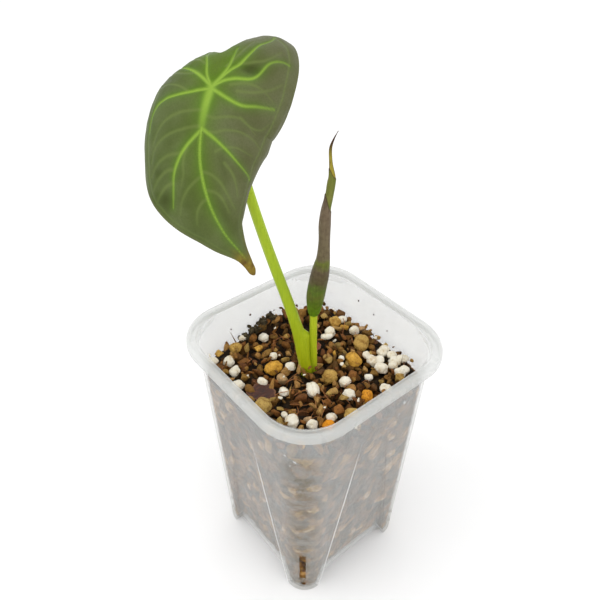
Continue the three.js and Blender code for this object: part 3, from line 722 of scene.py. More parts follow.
def wall_section(z, inset):
    """The wall's cross-section at a height with its four panels, and each point's way from a fold."""
    half = wall_half(z) - inset
    corner = wall_corner(z) - inset
    straight = half - corner
    panel = PANEL_TOP_HALF + max(PANEL_TOP - z, 0) * PANEL_SLOPE + inset * 0.2
    depth = PANEL_DEPTH * max(PANEL_TOP - z, 0) / PANEL_TOP
    along = side_places(straight, panel)
    dip = depth * smoothstep(CREASE, -CREASE, np.abs(along) - panel)
    ring, folds = [], []
    for quarter in range(4):
        turn = quarter * math.pi / 2
        out = heading(turn)
        left = np.array([-math.sin(turn), math.cos(turn)])
        flat = out * (half - dip)[:, None] + left * along[:, None]
        turns = turn + np.linspace(0, math.pi / 2, CORNER_STEPS + 2)[1:-1]
        ring += [flat, (out + left) * straight + corner * circle(turns)]
        folds += [np.abs(along) - panel - CREASE - FOLD_SHIFT, np.full(CORNER_STEPS, NO_FOLD)]
    ring = level_ring(np.concatenate(ring), z)
    return ring, np.concatenate(folds), np.full(len(ring), min(1, depth * 2))


def wall_ring(z, inset):
    return wall_section(z, inset)[0]


def plain_ring(half, corner, z, steps):
    ring = []
    for quarter in range(4):
        turn = quarter * math.pi / 2
        centre = (half - corner) * np.array([math.sqrt(2) * math.cos(turn + math.pi / 4),
                                             math.sqrt(2) * math.sin(turn + math.pi / 4)])
        ring.append(centre + corner * circle(turn + np.linspace(0, math.pi / 2, steps)))
    return level_ring(np.concatenate(ring), z)


def arch_bar(margin, turned):
    """The arch between two feet, run through along one direction, grown by a margin."""
    half = FOOT_INSIDE + margin
    top = FOOT_HEIGHT + margin
    t = np.linspace(0, 1, 9)[:, None]
    start_out, start_height = ARCH_START
    low, knee, high = np.array([[half + start_out, start_height], [half, top], [half - ARCH_LEVELS, top]])
    bend = (1 - t) ** 2 * low + 2 * t * (1 - t) * knee + t ** 2 * high
    right = np.concatenate([[[half + 3, -2]], bend])
    shape = np.concatenate([right, (right * (-1, 1))[::-1]])
    rings = []
    for far in (ARCH_REACH, -ARCH_REACH):
        ring = np.column_stack([shape[:, 0], np.full(len(shape), far), shape[:, 1]])
        rings.append(ring[:, [1, 0, 2]] * (-1, 1, 1) if turned else ring)
    return loft("arch", rings)


def box_mesh(low, high, turn):
    """A straight box turned about the pot's axis."""
    x0, y0, z0 = low
    x1, y1, z1 = high
    corners = np.array([[x0, y0], [x1, y0], [x1, y1], [x0, y1]])
    spin = np.array([[math.cos(turn), math.sin(turn)], [-math.sin(turn), math.cos(turn)]])
    corners = corners @ spin
    return loft("box", [level_ring(corners, z) for z in (z0, z1)])


def lip_mesh():
    """The turned-down lip. Half width and corner grow together, so one section serves the whole rim."""
    rings = []
    for out, z in LIP_PROFILE:
        ring = plain_ring(RIM_HALF + out, RIM_CORNER + out, z, 30)
        angle = np.arctan2(ring[:, 1], ring[:, 0])
        ring[:, 2] += LIP_WAVE * np.sin(3 * angle + 0.6) * smoothstep(102.5, 104, z)
        rings.append(ring)
    count = len(rings) * len(rings[0])
    return loft("lip", rings, {"rim": np.ones(count), "wet": np.zeros(count)}, round_back=True)


def folded_wall(name, low, high, inset):
    """A solid out to one face of the wall, which knows where its folds and its damp corners are, and which
    folds of its outer face get painted highlight and which painted shade.
    """
    rings, folds, shown = zip(*(wall_section(z, inset) for z in np.linspace(low, high, WALL_ROWS)))
    x, y, z = np.concatenate(rings).T
    corner = smoothstep(0.6, 0.95, np.minimum(np.abs(x), np.abs(y)) / np.maximum(np.abs(x), np.abs(y)))
    shown = np.concatenate(shown) * (inset == 0)
    # Creases where x and y have opposite signs get painted highlight, the others painted shade
    lit = x * y < 0
    fields = {"fold": np.concatenate(folds), "lit": shown * lit, "dark": shown * ~lit,
              "wet": corner * smoothstep(MIX_LEVEL + 3, MIX_LEVEL - 4, z), "rim": np.zeros(len(z))}
    return loft(name, rings, fields)


def pot_holes():
    """The slots in the corners and the drain holes in the floor."""
    holes = []
    for quarter in range(4):
        turn = quarter * math.pi / 2
        for low, high in SLOT_SPANS:
            holes.append(box_mesh((SLOT_FROM, -SLOT_WIDTH / 2, low),
                                  (SLOT_FROM + SLOT_REACH, SLOT_WIDTH / 2, high), turn + math.pi / 4))
        angles = np.linspace(0, 2 * math.pi, 40, endpoint=False)
        ring = DRAIN_AWAY * heading(turn) + DRAIN_RADIUS * circle(angles)
        holes.append(loft("drain", [level_ring(ring, z) for z in DRAIN_SPAN]))
    return holes


def arches(margin):
    return [arch_bar(margin, False), arch_bar(margin, True)]


def make_pot(material):
    top = POT_HEIGHT - LIP_COVERS
    outside = cut(folded_wall("outside", 0, top, 0), arches(0))
    inside = cut(folded_wall("inside", SOLE, top + OPEN_TOP, WALL), arches(WALL))
    mesh = cut(outside, [inside, *pot_holes()])
    mesh = cut(mesh, [lip_mesh()], "UNION")
    return add_piece("Pot", mesh, material, ["pot"], sharp=42)


# Random shapes
def cell_pattern(x, y, size, seed):
    """Distance to the nearest of jittered points, in sizes, and a draw for that point.

    The long numbers only scramble each point's key.
    """
    column = np.floor(x / size)
    row = np.floor(y / size)
    nearest = np.full(x.shape, 9.0)
    drawn = np.zeros(x.shape)

    def hashed(key):
        wave = np.sin(key * 12.9898 + seed) * 43758.5453
        return wave - np.floor(wave)

    for i in (-1, 0, 1):
        for j in (-1, 0, 1):
            key = (column + i) * 17.13 + (row + j) * 131.7
            cx = (column + i + 0.15 + 0.7 * hashed(key)) * size
            cy = (row + j + 0.15 + 0.7 * hashed(key + 0.37)) * size
            away = np.hypot(x - cx, y - cy) / size
            closer = away < nearest
            nearest = np.where(closer, away, nearest)
            drawn = np.where(closer, hashed(key + 0.71), drawn)
    return nearest, drawn


def ball(subdivisions):
    """Points and faces of a unit ball."""
    bm = bmesh.new()
    bmesh.ops.create_icosphere(bm, subdivisions=subdivisions, radius=1)
    points = np.array([v.co[:] for v in bm.verts])
    faces = [tuple(v.index for v in f.verts) for f in bm.faces]
    bm.free()
    return points, faces


def turned(points, rng):
    """The points turned at random."""
    axes, _ = np.linalg.qr(rng.normal(size=(3, 3)))
    if np.linalg.det(axes) < 0:
        axes[:, 0] *= -1
    return points @ axes.T


CHIP_CORNERS = (9, 15)
CHIP_FLATNESS = math.radians(16)
CHIP_WEAR = 0.12


def chip_forms(rng, count):
    """Points and faces of broken chips about one unit in radius: flat facets with worn edges."""
    forms = []
    for _ in range(count):
        bm = bmesh.new()
        ways = rng.normal(size=(int(rng.integers(*CHIP_CORNERS)), 3))
        for way in ways / np.linalg.norm(ways, axis=1)[:, None]:
            bm.verts.new(way * rng.uniform(0.85, 1.0))
        bmesh.ops.convex_hull(bm, input=bm.verts)
        bmesh.ops.dissolve_limit(bm, angle_limit=CHIP_FLATNESS, verts=bm.verts, edges=bm.edges)
        bmesh.ops.bevel(bm, geom=[*bm.verts, *bm.edges], offset=CHIP_WEAR, segments=2, profile=0.5,
                        affect="EDGES")
        bmesh.ops.triangulate(bm, faces=bm.faces)
        bmesh.ops.recalc_face_normals(bm, faces=bm.faces)
        bm.verts.index_update()
        points = np.array([v.co[:] for v in bm.verts])
        forms.append((points, [tuple(v.index for v in f.verts) for f in bm.faces]))
        bm.free()
    return forms


def lumpy(points, seed, size, amount):
    """The points pushed in and out by smooth noise."""
    shift = Vector((seed * 7.3, seed * 3.1, seed * 1.7))
    grow = [1 + amount * noise.fractal(Vector(p) * size + shift, 0.9, 2.0, 3) for p in points]
    return points * np.array(grow)[:, None]


# Potting mix
def wall_inside(x, y, z):
    """How far inside the wall's inner face a place is, in millimetres."""
    half = wall_half(z) - WALL
    corner = wall_corner(z) - WALL
    qx = np.abs(x) - (half - corner)
    qy = np.abs(y) - (half - corner)
    return corner - (np.hypot(np.maximum(qx, 0), np.maximum(qy, 0)) + np.minimum(np.maximum(qx, qy), 0))


def heap(x, y):
    """Height of the heap of mix round the stalks, in millimetres."""
    return HEAP_HEIGHT * np.exp(-((x - HEAP_AT[0]) ** 2 + (y - HEAP_AT[1]) ** 2) / HEAP_SPREAD)


def bank(x, y):
    """Height of the bank of mix against the left back wall, in millimetres."""
    return BANK_HEIGHT * np.exp(-(((x - BANK_AT[0]) / BANK_SPREAD[0]) ** 2
                                  + ((y - BANK_AT[1]) / BANK_SPREAD[1]) ** 2))


def even_ring(ring, count):
    """Count points spaced evenly round a ring, and how far round each is, from 0 to 1."""
    gaps = np.linalg.norm(np.diff(ring[:, :2], axis=0, append=ring[:1, :2]), axis=1)
    dense = np.linspace(0, gaps.sum(), count, endpoint=False)
    way = np.concatenate([[0], np.cumsum(gaps)])
    loop = np.vstack([ring, ring[:1]])
    return np.interp(dense, way, loop[:, 0]), np.interp(dense, way, loop[:, 1]), dense / gaps.sum()


def mix_side(z):
    """One row of the mix behind the wall, and its tones: crumbs at the plastic, with painted shade in the
    hollows between them.
    """
    x, y, share = even_ring(wall_ring(z, WALL + GAP), BODY_SIDES)
    around = share * BODY_AROUND
    warped = around + 0.8 * np.sin(z * 0.43 + around * 0.19) + 0.4 * np.sin(z * 0.9 - around * 0.5)
    level = z + 0.9 * np.sin(around * 0.37 + z * 0.11) + 0.4 * np.sin(around * 0.8 + 2)
    wide, tone = cell_pattern(warped, level, PRESSED_SIZES[0], 3)
    small, other = cell_pattern(warped, level, PRESSED_SIZES[1], 11)
    dip = PRESSED_HOLLOWS[0] * smoothstep(0.35, 0.85, wide) + PRESSED_HOLLOWS[1] * smoothstep(0.2, 0.8, small)
    shrink = 1 - dip / np.hypot(x, y)
    lift = bank(x, y) * smoothstep(70, BODY_TOP, z)
    pale = (tone > PALE_FROM) * (0.76 + 0.18 * other)
    # Brown and pale crumbs both darken towards the hollows between them: painted shade
    brown = (0.22 + 0.5 * tone) * (1 - 0.6 * smoothstep(0.4, 0.8, wide)) * (0.8 + 0.4 * other)
    tones = np.where(pale > 0, pale * (1 - 0.5 * smoothstep(0.5, 0.8, wide)), brown)
    return np.column_stack([x * shrink, y * shrink, z + lift]), tones


def mix_top(x, y):
    """One row of the top of the mix's body, under the crumbs, and its tones, kept near black as painted
    shade.
    """
    near, tone = cell_pattern(x, y, 3.6, 5)
    swell = bank(x, y) + BODY_HEAP * heap(x, y) + 0.9 * tone - 1.6 * smoothstep(0.3, 0.8, near)
    # Near-black tones on the top: painted shade under the loose crumbs
    return np.column_stack([x, y, BODY_TOP + swell]), 0.02 + 0.12 * tone


def make_mix_body(material, hollows):
    """The mass of the mix, with a tone at each point that holds painted shade between its crumbs and over its
    top, and hollows for the corm and the stalks.
    """
    rows = [mix_side(z) for z in np.linspace(SOLE + GAP, BODY_TOP, BODY_ROWS)]
    edge = rows[-1][0]
    rows += [mix_top(edge[:, 0] * t, edge[:, 1] * t) for t in np.linspace(1, 0.04, 34)[1:]]
    rings, tones = zip(*rows)
    tones = np.concatenate(tones)
    body = loft("mix", rings, {"tone": tones, "hue": tones * 8 % 1})
    mesh = cut(body, [*arches(WALL + GAP), *hollows])
    return add_piece("PottingMix", mesh, material, ["potting_mix"])


def node_axes(name):
    """Middle, half widths and own axes of a node, in millimetres round the pot's axis."""
    points = (np.array([v.co[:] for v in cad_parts[name].data.vertices]) - AXIS) / MM
    middle = (points.max(0) + points.min(0)) / 2
    _, _, axes = np.linalg.svd(points - points.mean(0), full_matrices=False)
    if np.linalg.det(axes) < 0:
        axes[2] *= -1
    local = (points - middle) @ axes.T
    middle = middle + (local.max(0) + local.min(0)) / 2 @ axes
    return middle, (local.max(0) - local.min(0)) / 2, axes, local


def grain_names():
    return [name for name in sorted(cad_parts) if name.startswith(("clay_", "perlite_"))]


def scattered(rng, count, sizes, taken, spread):
    """Random places on the mix, kept apart from each other, from what is taken and from the wall."""
    rows = np.empty((0, 3))
    for _ in range(count):
        x, y = rng.uniform(-MIX_REACH, MIX_REACH, 2)
        size = rng.uniform(*sizes)
        if wall_inside(x, y, MIX_LEVEL) < size * 0.5:
            continue
        if any(math.hypot(x - tx, y - ty) < tr + size * 0.25 for tx, ty, tr in taken):
            continue
        if len(rows) and np.any(np.hypot(rows[:, 0] - x, rows[:, 1] - y) < spread * (rows[:, 2] + size) / 2):
            continue
        rows = np.vstack([rows, (x, y, size)])
    return rows


def mix_swell(x, y):
    """Low swells of the mix's surface, with the heap and the bank, in millimetres."""
    swell = noise.noise(Vector((x * 0.06, y * 0.06, 4.0)))
    return swell + float(heap(x, y) + bank(x, y))


def make_crumbs(name, material, layer, tone_of, seed):
    """Loose crumbs joined in one mesh. A layer has tries, sizes, spacing, height and the places kept free."""
    rng = np.random.default_rng(seed)
    forms = chip_forms(rng, CRUMB_FORMS)
    tries, sizes, spread, height, kept_free = layer
    crumbs = []
    for x, y, size in scattered(rng, tries, sizes, kept_free, spread):
        unit, faces = forms[int(rng.integers(len(forms)))]
        form = turned(unit * rng.uniform(SLIM_CRUMB, STOUT_CRUMB), rng) * size / 2
        z = height + mix_swell(x, y) + rng.uniform(-CRUMB_SCATTER, CRUMB_SCATTER)
        crumbs.append((form + (x, y, z), faces, {"tone": tone_of(rng), "hue": rng.beta(0.7, 1.0)}))
    return add_piece(name, joined(name, crumbs), material, sharp=50)


def make_grains(clay, perlite):
    """A finer grain in the place of each clay and perlite node."""
    unit, faces = ball(4)
    for seed, name in enumerate(grain_names(), 1):
        kind, number = name.split("_")
        middle, half, axes, _ = node_axes(name)
        form = lumpy(unit, seed, 1.1, 0.2 if kind == "clay" else 0.24)
        form = lumpy(form, seed + 50, 3, 0.06)
        low, high = form.min(0), form.max(0)
        form = ((form - (low + high) / 2) / (high - low) * 2 * half * GRAIN_GROWTH) @ axes + middle
        tone = CLAY_TONES[int(number) - 1] if kind == "clay" else 0.0
        mesh = make_mesh(name, form, faces, {"tone": np.full(len(unit), tone)})
        add_piece(f"{kind.title()}{number}", mesh, clay if kind == "clay" else perlite, [name])


def make_more_grains(name, rows, material, slot):
    """Grains with no node of their own, which lie on the mix."""
    stones = chip_forms(np.random.default_rng(47), CLAY_FORMS) if slot == "clay" else [ball(3)]
    grains = []
    for seed, (x, y, wide, long, turn, *tone) in enumerate(rows, 300):
        unit, faces = stones[seed % len(stones)]
        form = lumpy(lumpy(unit, seed, 1.1, 0.22), seed + 50, 3, 0.04)
        spin = math.radians(turn)
        axes = [(*heading(spin), 0), (-math.sin(spin), math.cos(spin), 0), (0, 0, 1)]
        form = form * (long / 2.15, wide / 2.15, wide / 2.3) @ axes
        place = (x, y, MIX_LEVEL + GRAIN_RISE + mix_swell(x, y))
        grains.append((form + place, faces, {"tone": tone[0] if tone else 0.0}))
    return add_piece(name, joined(name, grains), material)


def make_bark_chip(number, material, tone):
    """A flat bark chip in the place of its node: split edges, long fibres and a slight warp."""
    middle, half, axes, local = node_axes(f"bark_chip_{number}")
    outline = local[np.argsort(np.arctan2(local[:, 1], local[:, 0]))][:, :2]
    angles = np.linspace(-math.pi, math.pi, CHIP_SIDES, endpoint=False)
    around = np.arctan2(outline[:, 1], outline[:, 0])
    reach = np.hypot(outline[:, 0], outline[:, 1])
    far = np.interp(angles, around, reach, period=2 * math.pi)
    far *= [1 + 0.12 * noise.noise(Vector((math.cos(a) * 4, math.sin(a) * 4, number * 5.0))) for a in angles]
    faces_up, faces_down = [], []
    for top, rows in ((1, faces_up), (-1, faces_down)):
        for t in np.linspace(0.06, 1, CHIP_ROWS):
            x, y = far * t * np.cos(angles), far * t * np.sin(angles)
            rough = np.array([noise.noise(Vector((a * 0.7, b * 3.0, number + top))) for a, b in zip(x, y)])
            z = top * half[2] * (0.72 - 0.35 * t ** 6) + 0.16 * rough + 0.25 * (x / half[0]) ** 2 - 0.1
            rows.append((np.column_stack([x, y, z]), np.full(CHIP_SIDES, t ** 3)))
    rings, edges = zip(*faces_down, *faces_up[::-1])
    fields = {"edge": np.concatenate(edges), "tone": np.full(len(rings) * CHIP_SIDES, tone)}
    mesh = loft("bark", [ring @ axes + middle for ring in rings], fields)
    return add_piece(f"BarkChip{number}", mesh, material, [f"bark_chip_{number}"], sharp=50)


def make_fibres(material):
    """The coir fibres of the photograph and some loose ones, each a thin tube along a bowed line."""
    rng = np.random.default_rng(77)
    routes = list(FIBRES)
    for _ in range(LOOSE_FIBRES):
        start = rng.uniform(-FIBRE_REACH, FIBRE_REACH, 2)
        turn = rng.uniform(0, 2 * math.pi)
        end = start + rng.uniform(3, 7) * heading(turn)
        routes.append((start, end, rng.uniform(-1.5, 1.5), rng.uniform(0, 0.5)))
    base = MIX_LEVEL + FIBRE_RISE
    tubes = []
    for start, end, bow, lift in routes:
        start, end = np.array(start), np.array(end)
        across = np.array([end[1] - start[1], start[0] - end[0]])
        middle = (start + end) / 2 + across / np.linalg.norm(across) * bow
        path = curve_through([(*start, base - 0.3), (*(start + middle) / 2, base + 0.2 + lift * 0.7),
                              (*middle, base + 0.2 + lift), (*(end + middle) / 2, base + 0.3 + lift * 0.5),
                              (*end, base - 0.4)], 22)
        thick = FIBRE_RADIUS * rng.uniform(0.7, 1.3)
        rings = tube_rings(path, lambda t, a, r=thick: np.full(len(a), r * (1 - 0.5 * t)), 7)
        tubes.append((np.concatenate(rings), loft_faces(len(rings), 7), {}))
    return add_piece("CoirFibres", joined("fibres", tubes), material)


# Leaf blade
HALF_OUTLINE = (
    (0, 12), (3.4, 15.4), (8.2, 20.8), (14, 24.2), (19.2, 20.4), (22.8, 13.2), (23.6, 3.8), (23.2, -6.2),
    (21.6, -16), (17.8, -25.6), (12, -33.6), (6, -40.6), (2.5, -46), (1.5, -50), (1.1, -52.8), (0, -54),
)
STATION_V = np.array([-54, -47, -39, -30, -20, -10, 0, 12, 26.0])
DRIFT = np.array([11.5, 8.6, 3.6, -0.3, -2.4, -2, 0, 1.2, 1.2])
TILT = np.array([-34, -32, -22, -8, -2, 6, 16, 58, 100.0])
TWIST = np.array([54, 46, 16, 6, 6, 6, 0, -12, -30.0])
CURL_LEFT = np.array([10, 18, 16, 28, 74, 100, 103, 100, 90.0])
CURL_RIGHT = np.array([22, 50, 60, 74, 70, 72, 68, 66, 42.0])
SPOKES = 640
RINGS = 118
BLADE_WAVE = 0.12
BLADE_WAVE_LENGTH = 19
# Height and pitch of the blade's wide swells and of the small puffs between the veins
SWELL_HEIGHT = 0.28
SWELL_PITCH = 0.16
PUFF_HEIGHT = 0.1
PUFF_PITCH = 0.5
# How deep veins lie in the face, how far the skin rises off them and how far ribs stand out underneath
VEIN_SINK = 0.36
VEIN_BULGE = 0.2
RIB_HEIGHT = 0.75
MIDRIB_HEIGHT = 0.15
TAIL_SPAN = (-52, -44)
LIP_ROUND = 0.12
UNDER_SHARE_OF_LIP = 0.35

# Veins on the flat blade: points from the hub outwards, half width at the start and at the end
VEINS = (
    (((0, 0), (-0.2, -5), (0, -11)), 1.15, 0.9),
    (((0, -11), (0, -22), (0, -36), (0, -47), (0, -53)), 0.56, 0.24),
    (((0, -0.5), (5, -2), (9, -2.6), (13, -1.8), (18, -1)), 0.56, 0.22),
    (((0, -11), (4, -13.5), (7.5, -16.8), (10, -20.8), (12.5, -26), (13, -27.8)), 0.5, 0.2),
    (((0, 0), (3, 2), (6, 3), (9.5, 3.6), (11.5, 5), (14, 9), (17, 11), (19.5, 11.5)), 0.54, 0.22),
    (((0, 0), (3.2, 4), (6.5, 7.4), (8.5, 10.8), (10.5, 14.2), (13.2, 17.2), (14, 20)), 0.54, 0.22),
    (((0, 0), (2, 3), (3.6, 6.2), (4.6, 12.8)), 0.5, 0.28),
    (((0, -0.5), (-4.5, -2.5), (-8.2, -4.2), (-11.5, -5.8), (-14, -7.8), (-15.4, -10.5), (-15.6, -13.5)),
     0.52, 0.2),
    (((0, -11.5), (-3.5, -15.8), (-5.8, -19.2), (-7.5, -22.5), (-8.8, -26.5), (-10, -29.5)), 0.5, 0.22),
    (((0, 0), (-2.8, 2), (-7, 4.8), (-10.8, 7), (-15, 9), (-18, 9.5)), 0.6, 0.28),
    (((0, 0), (-1.8, 3), (-2.8, 7.2), (-4.4, 13.5)), 0.45, 0.25),
)
# Faint side veins, from a main vein towards the margin
SIDE_VEINS = (
    ((-0.8, -6.4), (-2.4, -7), (-5.5, -8), (-9.5, -10.2), (-12, -13), (-13.6, -16.2)),
    ((-0.7, -10.6), (-2.2, -11), (-5, -12), (-9, -13.8), (-12.4, -16.4), (-14.4, -19.6)),
    ((-4.9, -17.6), (-8.5, -18.2), (-12.2, -20), (-15, -22.4)),
    ((-7, -21.2), (-9.4, -21.4), (-12.4, -23), (-15, -25.2)),
    ((-8.1, -24.2), (-10.2, -24.6), (-12.6, -26), (-15, -28)),
    ((-0.3, -23.6), (-2.2, -24.6), (-4.6, -26.2), (-6.8, -28.4), (-8.6, -31.2)),
    ((-0.4, -29.6), (-2, -30.2), (-4, -32), (-5.4, -34.6)),
    ((-3.4, -16.2), (-4.4, -19.4), (-4.8, -22.4), (-6, -25)),
    ((0.9, -7.6), (3, -7.6), (6, -6.4), (9.2, -5.8), (12, -7), (14.4, -9.4)),
    ((0.9, -11.8), (3.4, -11.6), (6.6, -10.4), (10.4, -10.2), (14.4, -12), (16.6, -14.6)),
    ((0.3, -22.4), (2.4, -23.4), (4.4, -26), (5.4, -30), (5.8, -34.8)),
    ((0.5, -27.4), (2.4, -28.4), (3.8, -30.8), (4, -35)),
    ((5, 1.2), (9, 2.4), (13.4, 2), (17, 0.2)),
    ((7, 0), (11.4, 0.8), (15.6, 2.8), (18.6, 5.6)),
    ((9.4, -5.6), (13.2, -7.4), (16, -6.8), (17.6, -4.6)),
    ((6.4, -20.4), (8, -24), (8.4, -28), (7.8, -31.6)),
    ((4.2, -16.8), (6.4, -15.6), (10, -15.4), (14, -18)),
    ((6.2, 7.2), (9.2, 8), (13, 9.6), (16.4, 13.4)),
    ((3, 6), (5.6, 10.4), (8.6, 15.4)),
    ((-4.6, 3.4), (-8.4, 3.2), (-13, 4.4), (-16.8, 4.4)),
    ((-5.6, -2.8), (-9, -1.6), (-13.6, -1.4), (-17.4, -3)),
    ((-3, 6.6), (-6.2, 9.4), (-10.6, 13.2)),
)
VEIN_FADE = 0.5
VEIN_REACH = 6
# The vein that follows the margin: right side, left side and the lower left
MARGIN_VEINS = (
    ((14, 19.4), (17.4, 16.4), (19.3, 11.6), (19.5, 4), (18.9, -3), (18, -10), (16.2, -17.6), (13.2, -26.6),
     (9.8, -32.8), (5.4, -38.4), (2, -45)),
    ((-14, 18.6), (-17.6, 14), (-19, 6), (-17.6, -1), (-16.2, -7), (-15.9, -13.4), (-15.9, -20), (-15.6, -26),
     (-12.6, -30.4), (-8.8, -35), (-5.2, -39), (-2.2, -44.4)),
)
# Hollows of the blade, sunk by their depth and darkened by painted shade: place, reach, depth and darkness
HOLLOWS = (
    ((9.6, 6.2), (3.0, 1.5), 0.9, 1.3), ((-11.6, -27.4), (2.4, 2.0), 0.3, 0.9),
    ((-12, -21.8), (2.2, 1.2), 0.15, 0.6), ((-6.4, 5.6), (2.6, 1.6), 0.2, 0.5),
    ((2.4, -36), (1.4, 5), 0.15, 0.5), ((6, -22), (1.2, 5), 0.1, 0.4),
)


def closed_curve(points, count):
    """Points of a centripetal curve through a closed loop of points."""
    points = np.asarray(points, float)
    total = len(points)
    out = []
    for k in range(count):
        t = k / count * total
        i = int(t)
        t -= i
        p0, p1, p2, p3 = (points[(i + j) % total] for j in (-1, 0, 1, 2))
        d0, d1, d2 = (np.linalg.norm(b - a) ** 0.5 for a, b in ((p0, p1), (p1, p2), (p2, p3)))
        m1 = ((p1 - p0) / d0 - (p2 - p0) / (d0 + d1) + (p2 - p1) / d1) * d1
        m2 = ((p2 - p1) / d1 - (p3 - p1) / (d1 + d2) + (p3 - p2) / d2) * d1
        out.append(hermite(t, p1, m1, p2, m2))
    return np.array(out)


def station(values, v):
    """A smooth curve through the stations' values."""
    v = np.asarray(v, float)
    last = len(STATION_V) - 1
    i = np.searchsorted(STATION_V[1:-1], v, side="left")
    low, high = np.maximum(np.arange(last + 1) - 1, 0), np.minimum(np.arange(last + 1) + 1, last)
    slope = (values[high] - values[low]) / (STATION_V[high] - STATION_V[low])
    h = STATION_V[i + 1] - STATION_V[i]
    return hermite((v - STATION_V[i]) / h, values[i], h * slope[i], values[i + 1], h * slope[i + 1])


outline_points = HALF_OUTLINE + tuple((-u, v) for u, v in HALF_OUTLINE[-2:0:-1])
outline_edge = closed_curve(outline_points, 400)[:201]
widest = int(np.argmax(outline_edge[:, 1]))
midrib_v = np.linspace(-56, 28, 673)
midrib_tilt = np.radians(station(TILT, (midrib_v[1:] + midrib_v[:-1]) / 2))
midrib_step = midrib_v[1] - midrib_v[0]
midrib_along = np.concatenate([[0], np.cumsum(np.cos(midrib_tilt) * midrib_step)])
midrib_out = -np.concatenate([[0], np.cumsum(np.sin(midrib_tilt) * midrib_step)])
midrib_along -= np.interp(0, midrib_v, midrib_along)
midrib_out -= np.interp(0, midrib_v, midrib_out)
blade_normal = np.array([math.sin(BLADE_AZIMUTH) * math.cos(BLADE_RISE),
                         -math.cos(BLADE_AZIMUTH) * math.cos(BLADE_RISE), math.sin(BLADE_RISE)])
blade_across = np.array([math.cos(BLADE_AZIMUTH), math.sin(BLADE_AZIMUTH), 0.0])
blade_along = np.cross(blade_normal, blade_across)


def blade_half_width(v):
    """Half width of the flat blade, taken on its outer edge."""
    falling = outline_edge[widest:]
    return np.interp(v, falling[::-1, 1], falling[::-1, 0], left=0.5)


def bend(u, v):
    """Where points of the flat blade come to lie, in millimetres round the pot's axis."""
    way = np.abs(u)
    curl = np.radians(np.where(u >= 0, station(CURL_RIGHT, v), station(CURL_LEFT, v)))
    width = np.maximum(blade_half_width(v), 6)
    reach = np.zeros(u.shape)
    back = np.zeros(u.shape)
    for k in range(CURL_SLICES):
        angle = curl * (way * (k + 0.5) / CURL_SLICES / width) ** CURL_POWER
        reach += np.cos(angle) * way / CURL_SLICES
        back += np.sin(angle) * way / CURL_SLICES
    twist = np.radians(station(TWIST, v))
    across = np.sign(u) * reach
    x = across * np.cos(twist) - back * np.sin(twist)
    h = -across * np.sin(twist) - back * np.cos(twist)
    tilt = np.radians(station(TILT, v))
    slope = (station(DRIFT, v + 0.1) - station(DRIFT, v - 0.1)) / 0.2
    square = np.hypot(1, slope)
    along = np.interp(v, midrib_v, midrib_along)
    out = np.interp(v, midrib_v, midrib_out)
    lean = -x * slope / square
    return (HUB + np.outer(station(DRIFT, v) + x / square, blade_across)
            + np.outer(along + lean * np.cos(tilt) + h * np.sin(tilt), blade_along)
            + np.outer(out - lean * np.sin(tilt) + h * np.cos(tilt), blade_normal))


def blade_normals(u, v):
    """The bent blade's normals at flat places, from its slopes over a short step."""
    across = bend(u + 0.2, v) - bend(u - 0.2, v)
    along = bend(u, v + 0.2) - bend(u, v - 0.2)
    normal = np.cross(across, along)
    return normal / np.linalg.norm(normal, axis=1)[:, None]


def vein_fields(u, v):
    """How much of a vein, a faint vein, a glow and a relief each flat point has."""
    fields = {key: np.zeros(u.shape) for key in ("vein", "faint", "glow", "relief")}

    def lay(key, points, start, end, strength, shine):
        """One vein, from its half width at the start to the one at its end."""
        path = curve_through(points, max(16, int(len(points) * 12)))
        widths = np.linspace(start, end, len(path))
        low, high = path.min(0) - VEIN_REACH, path.max(0) + VEIN_REACH
        near = np.flatnonzero((u > low[0]) & (u < high[0]) & (v > low[1]) & (v < high[1]))
        away = np.hypot(u[near, None] - path[:, 0], v[near, None] - path[:, 1])
        nearest = np.argmin(away - widths, axis=1)
        distance = away[np.arange(len(near)), nearest]
        width = widths[nearest]
        fade = 1 - VEIN_FADE * smoothstep(0.35, 1, nearest / (len(path) - 1))
        for name, value in (
            (key, strength * fade * np.exp(-(distance / width) ** 2.6)),
            ("glow", shine * fade * np.exp(-distance / (1.2 * width + 0.55))),
            ("relief", strength * np.exp(-(distance / (width * 1.6)) ** 2) * (0.4 + width)),
        ):
            fields[name][near] = np.maximum(fields[name][near], value)

    for points, start, end in VEINS:
        lay("vein", points, start, end, 1.0, 0.35 + 0.7 * start)
    for points in SIDE_VEINS:
        lay("faint", points, 0.46, 0.28, 0.42, 0.12)
    for points in MARGIN_VEINS:
        lay("faint", points, 0.34, 0.26, 0.4, 0.1)
    return fields


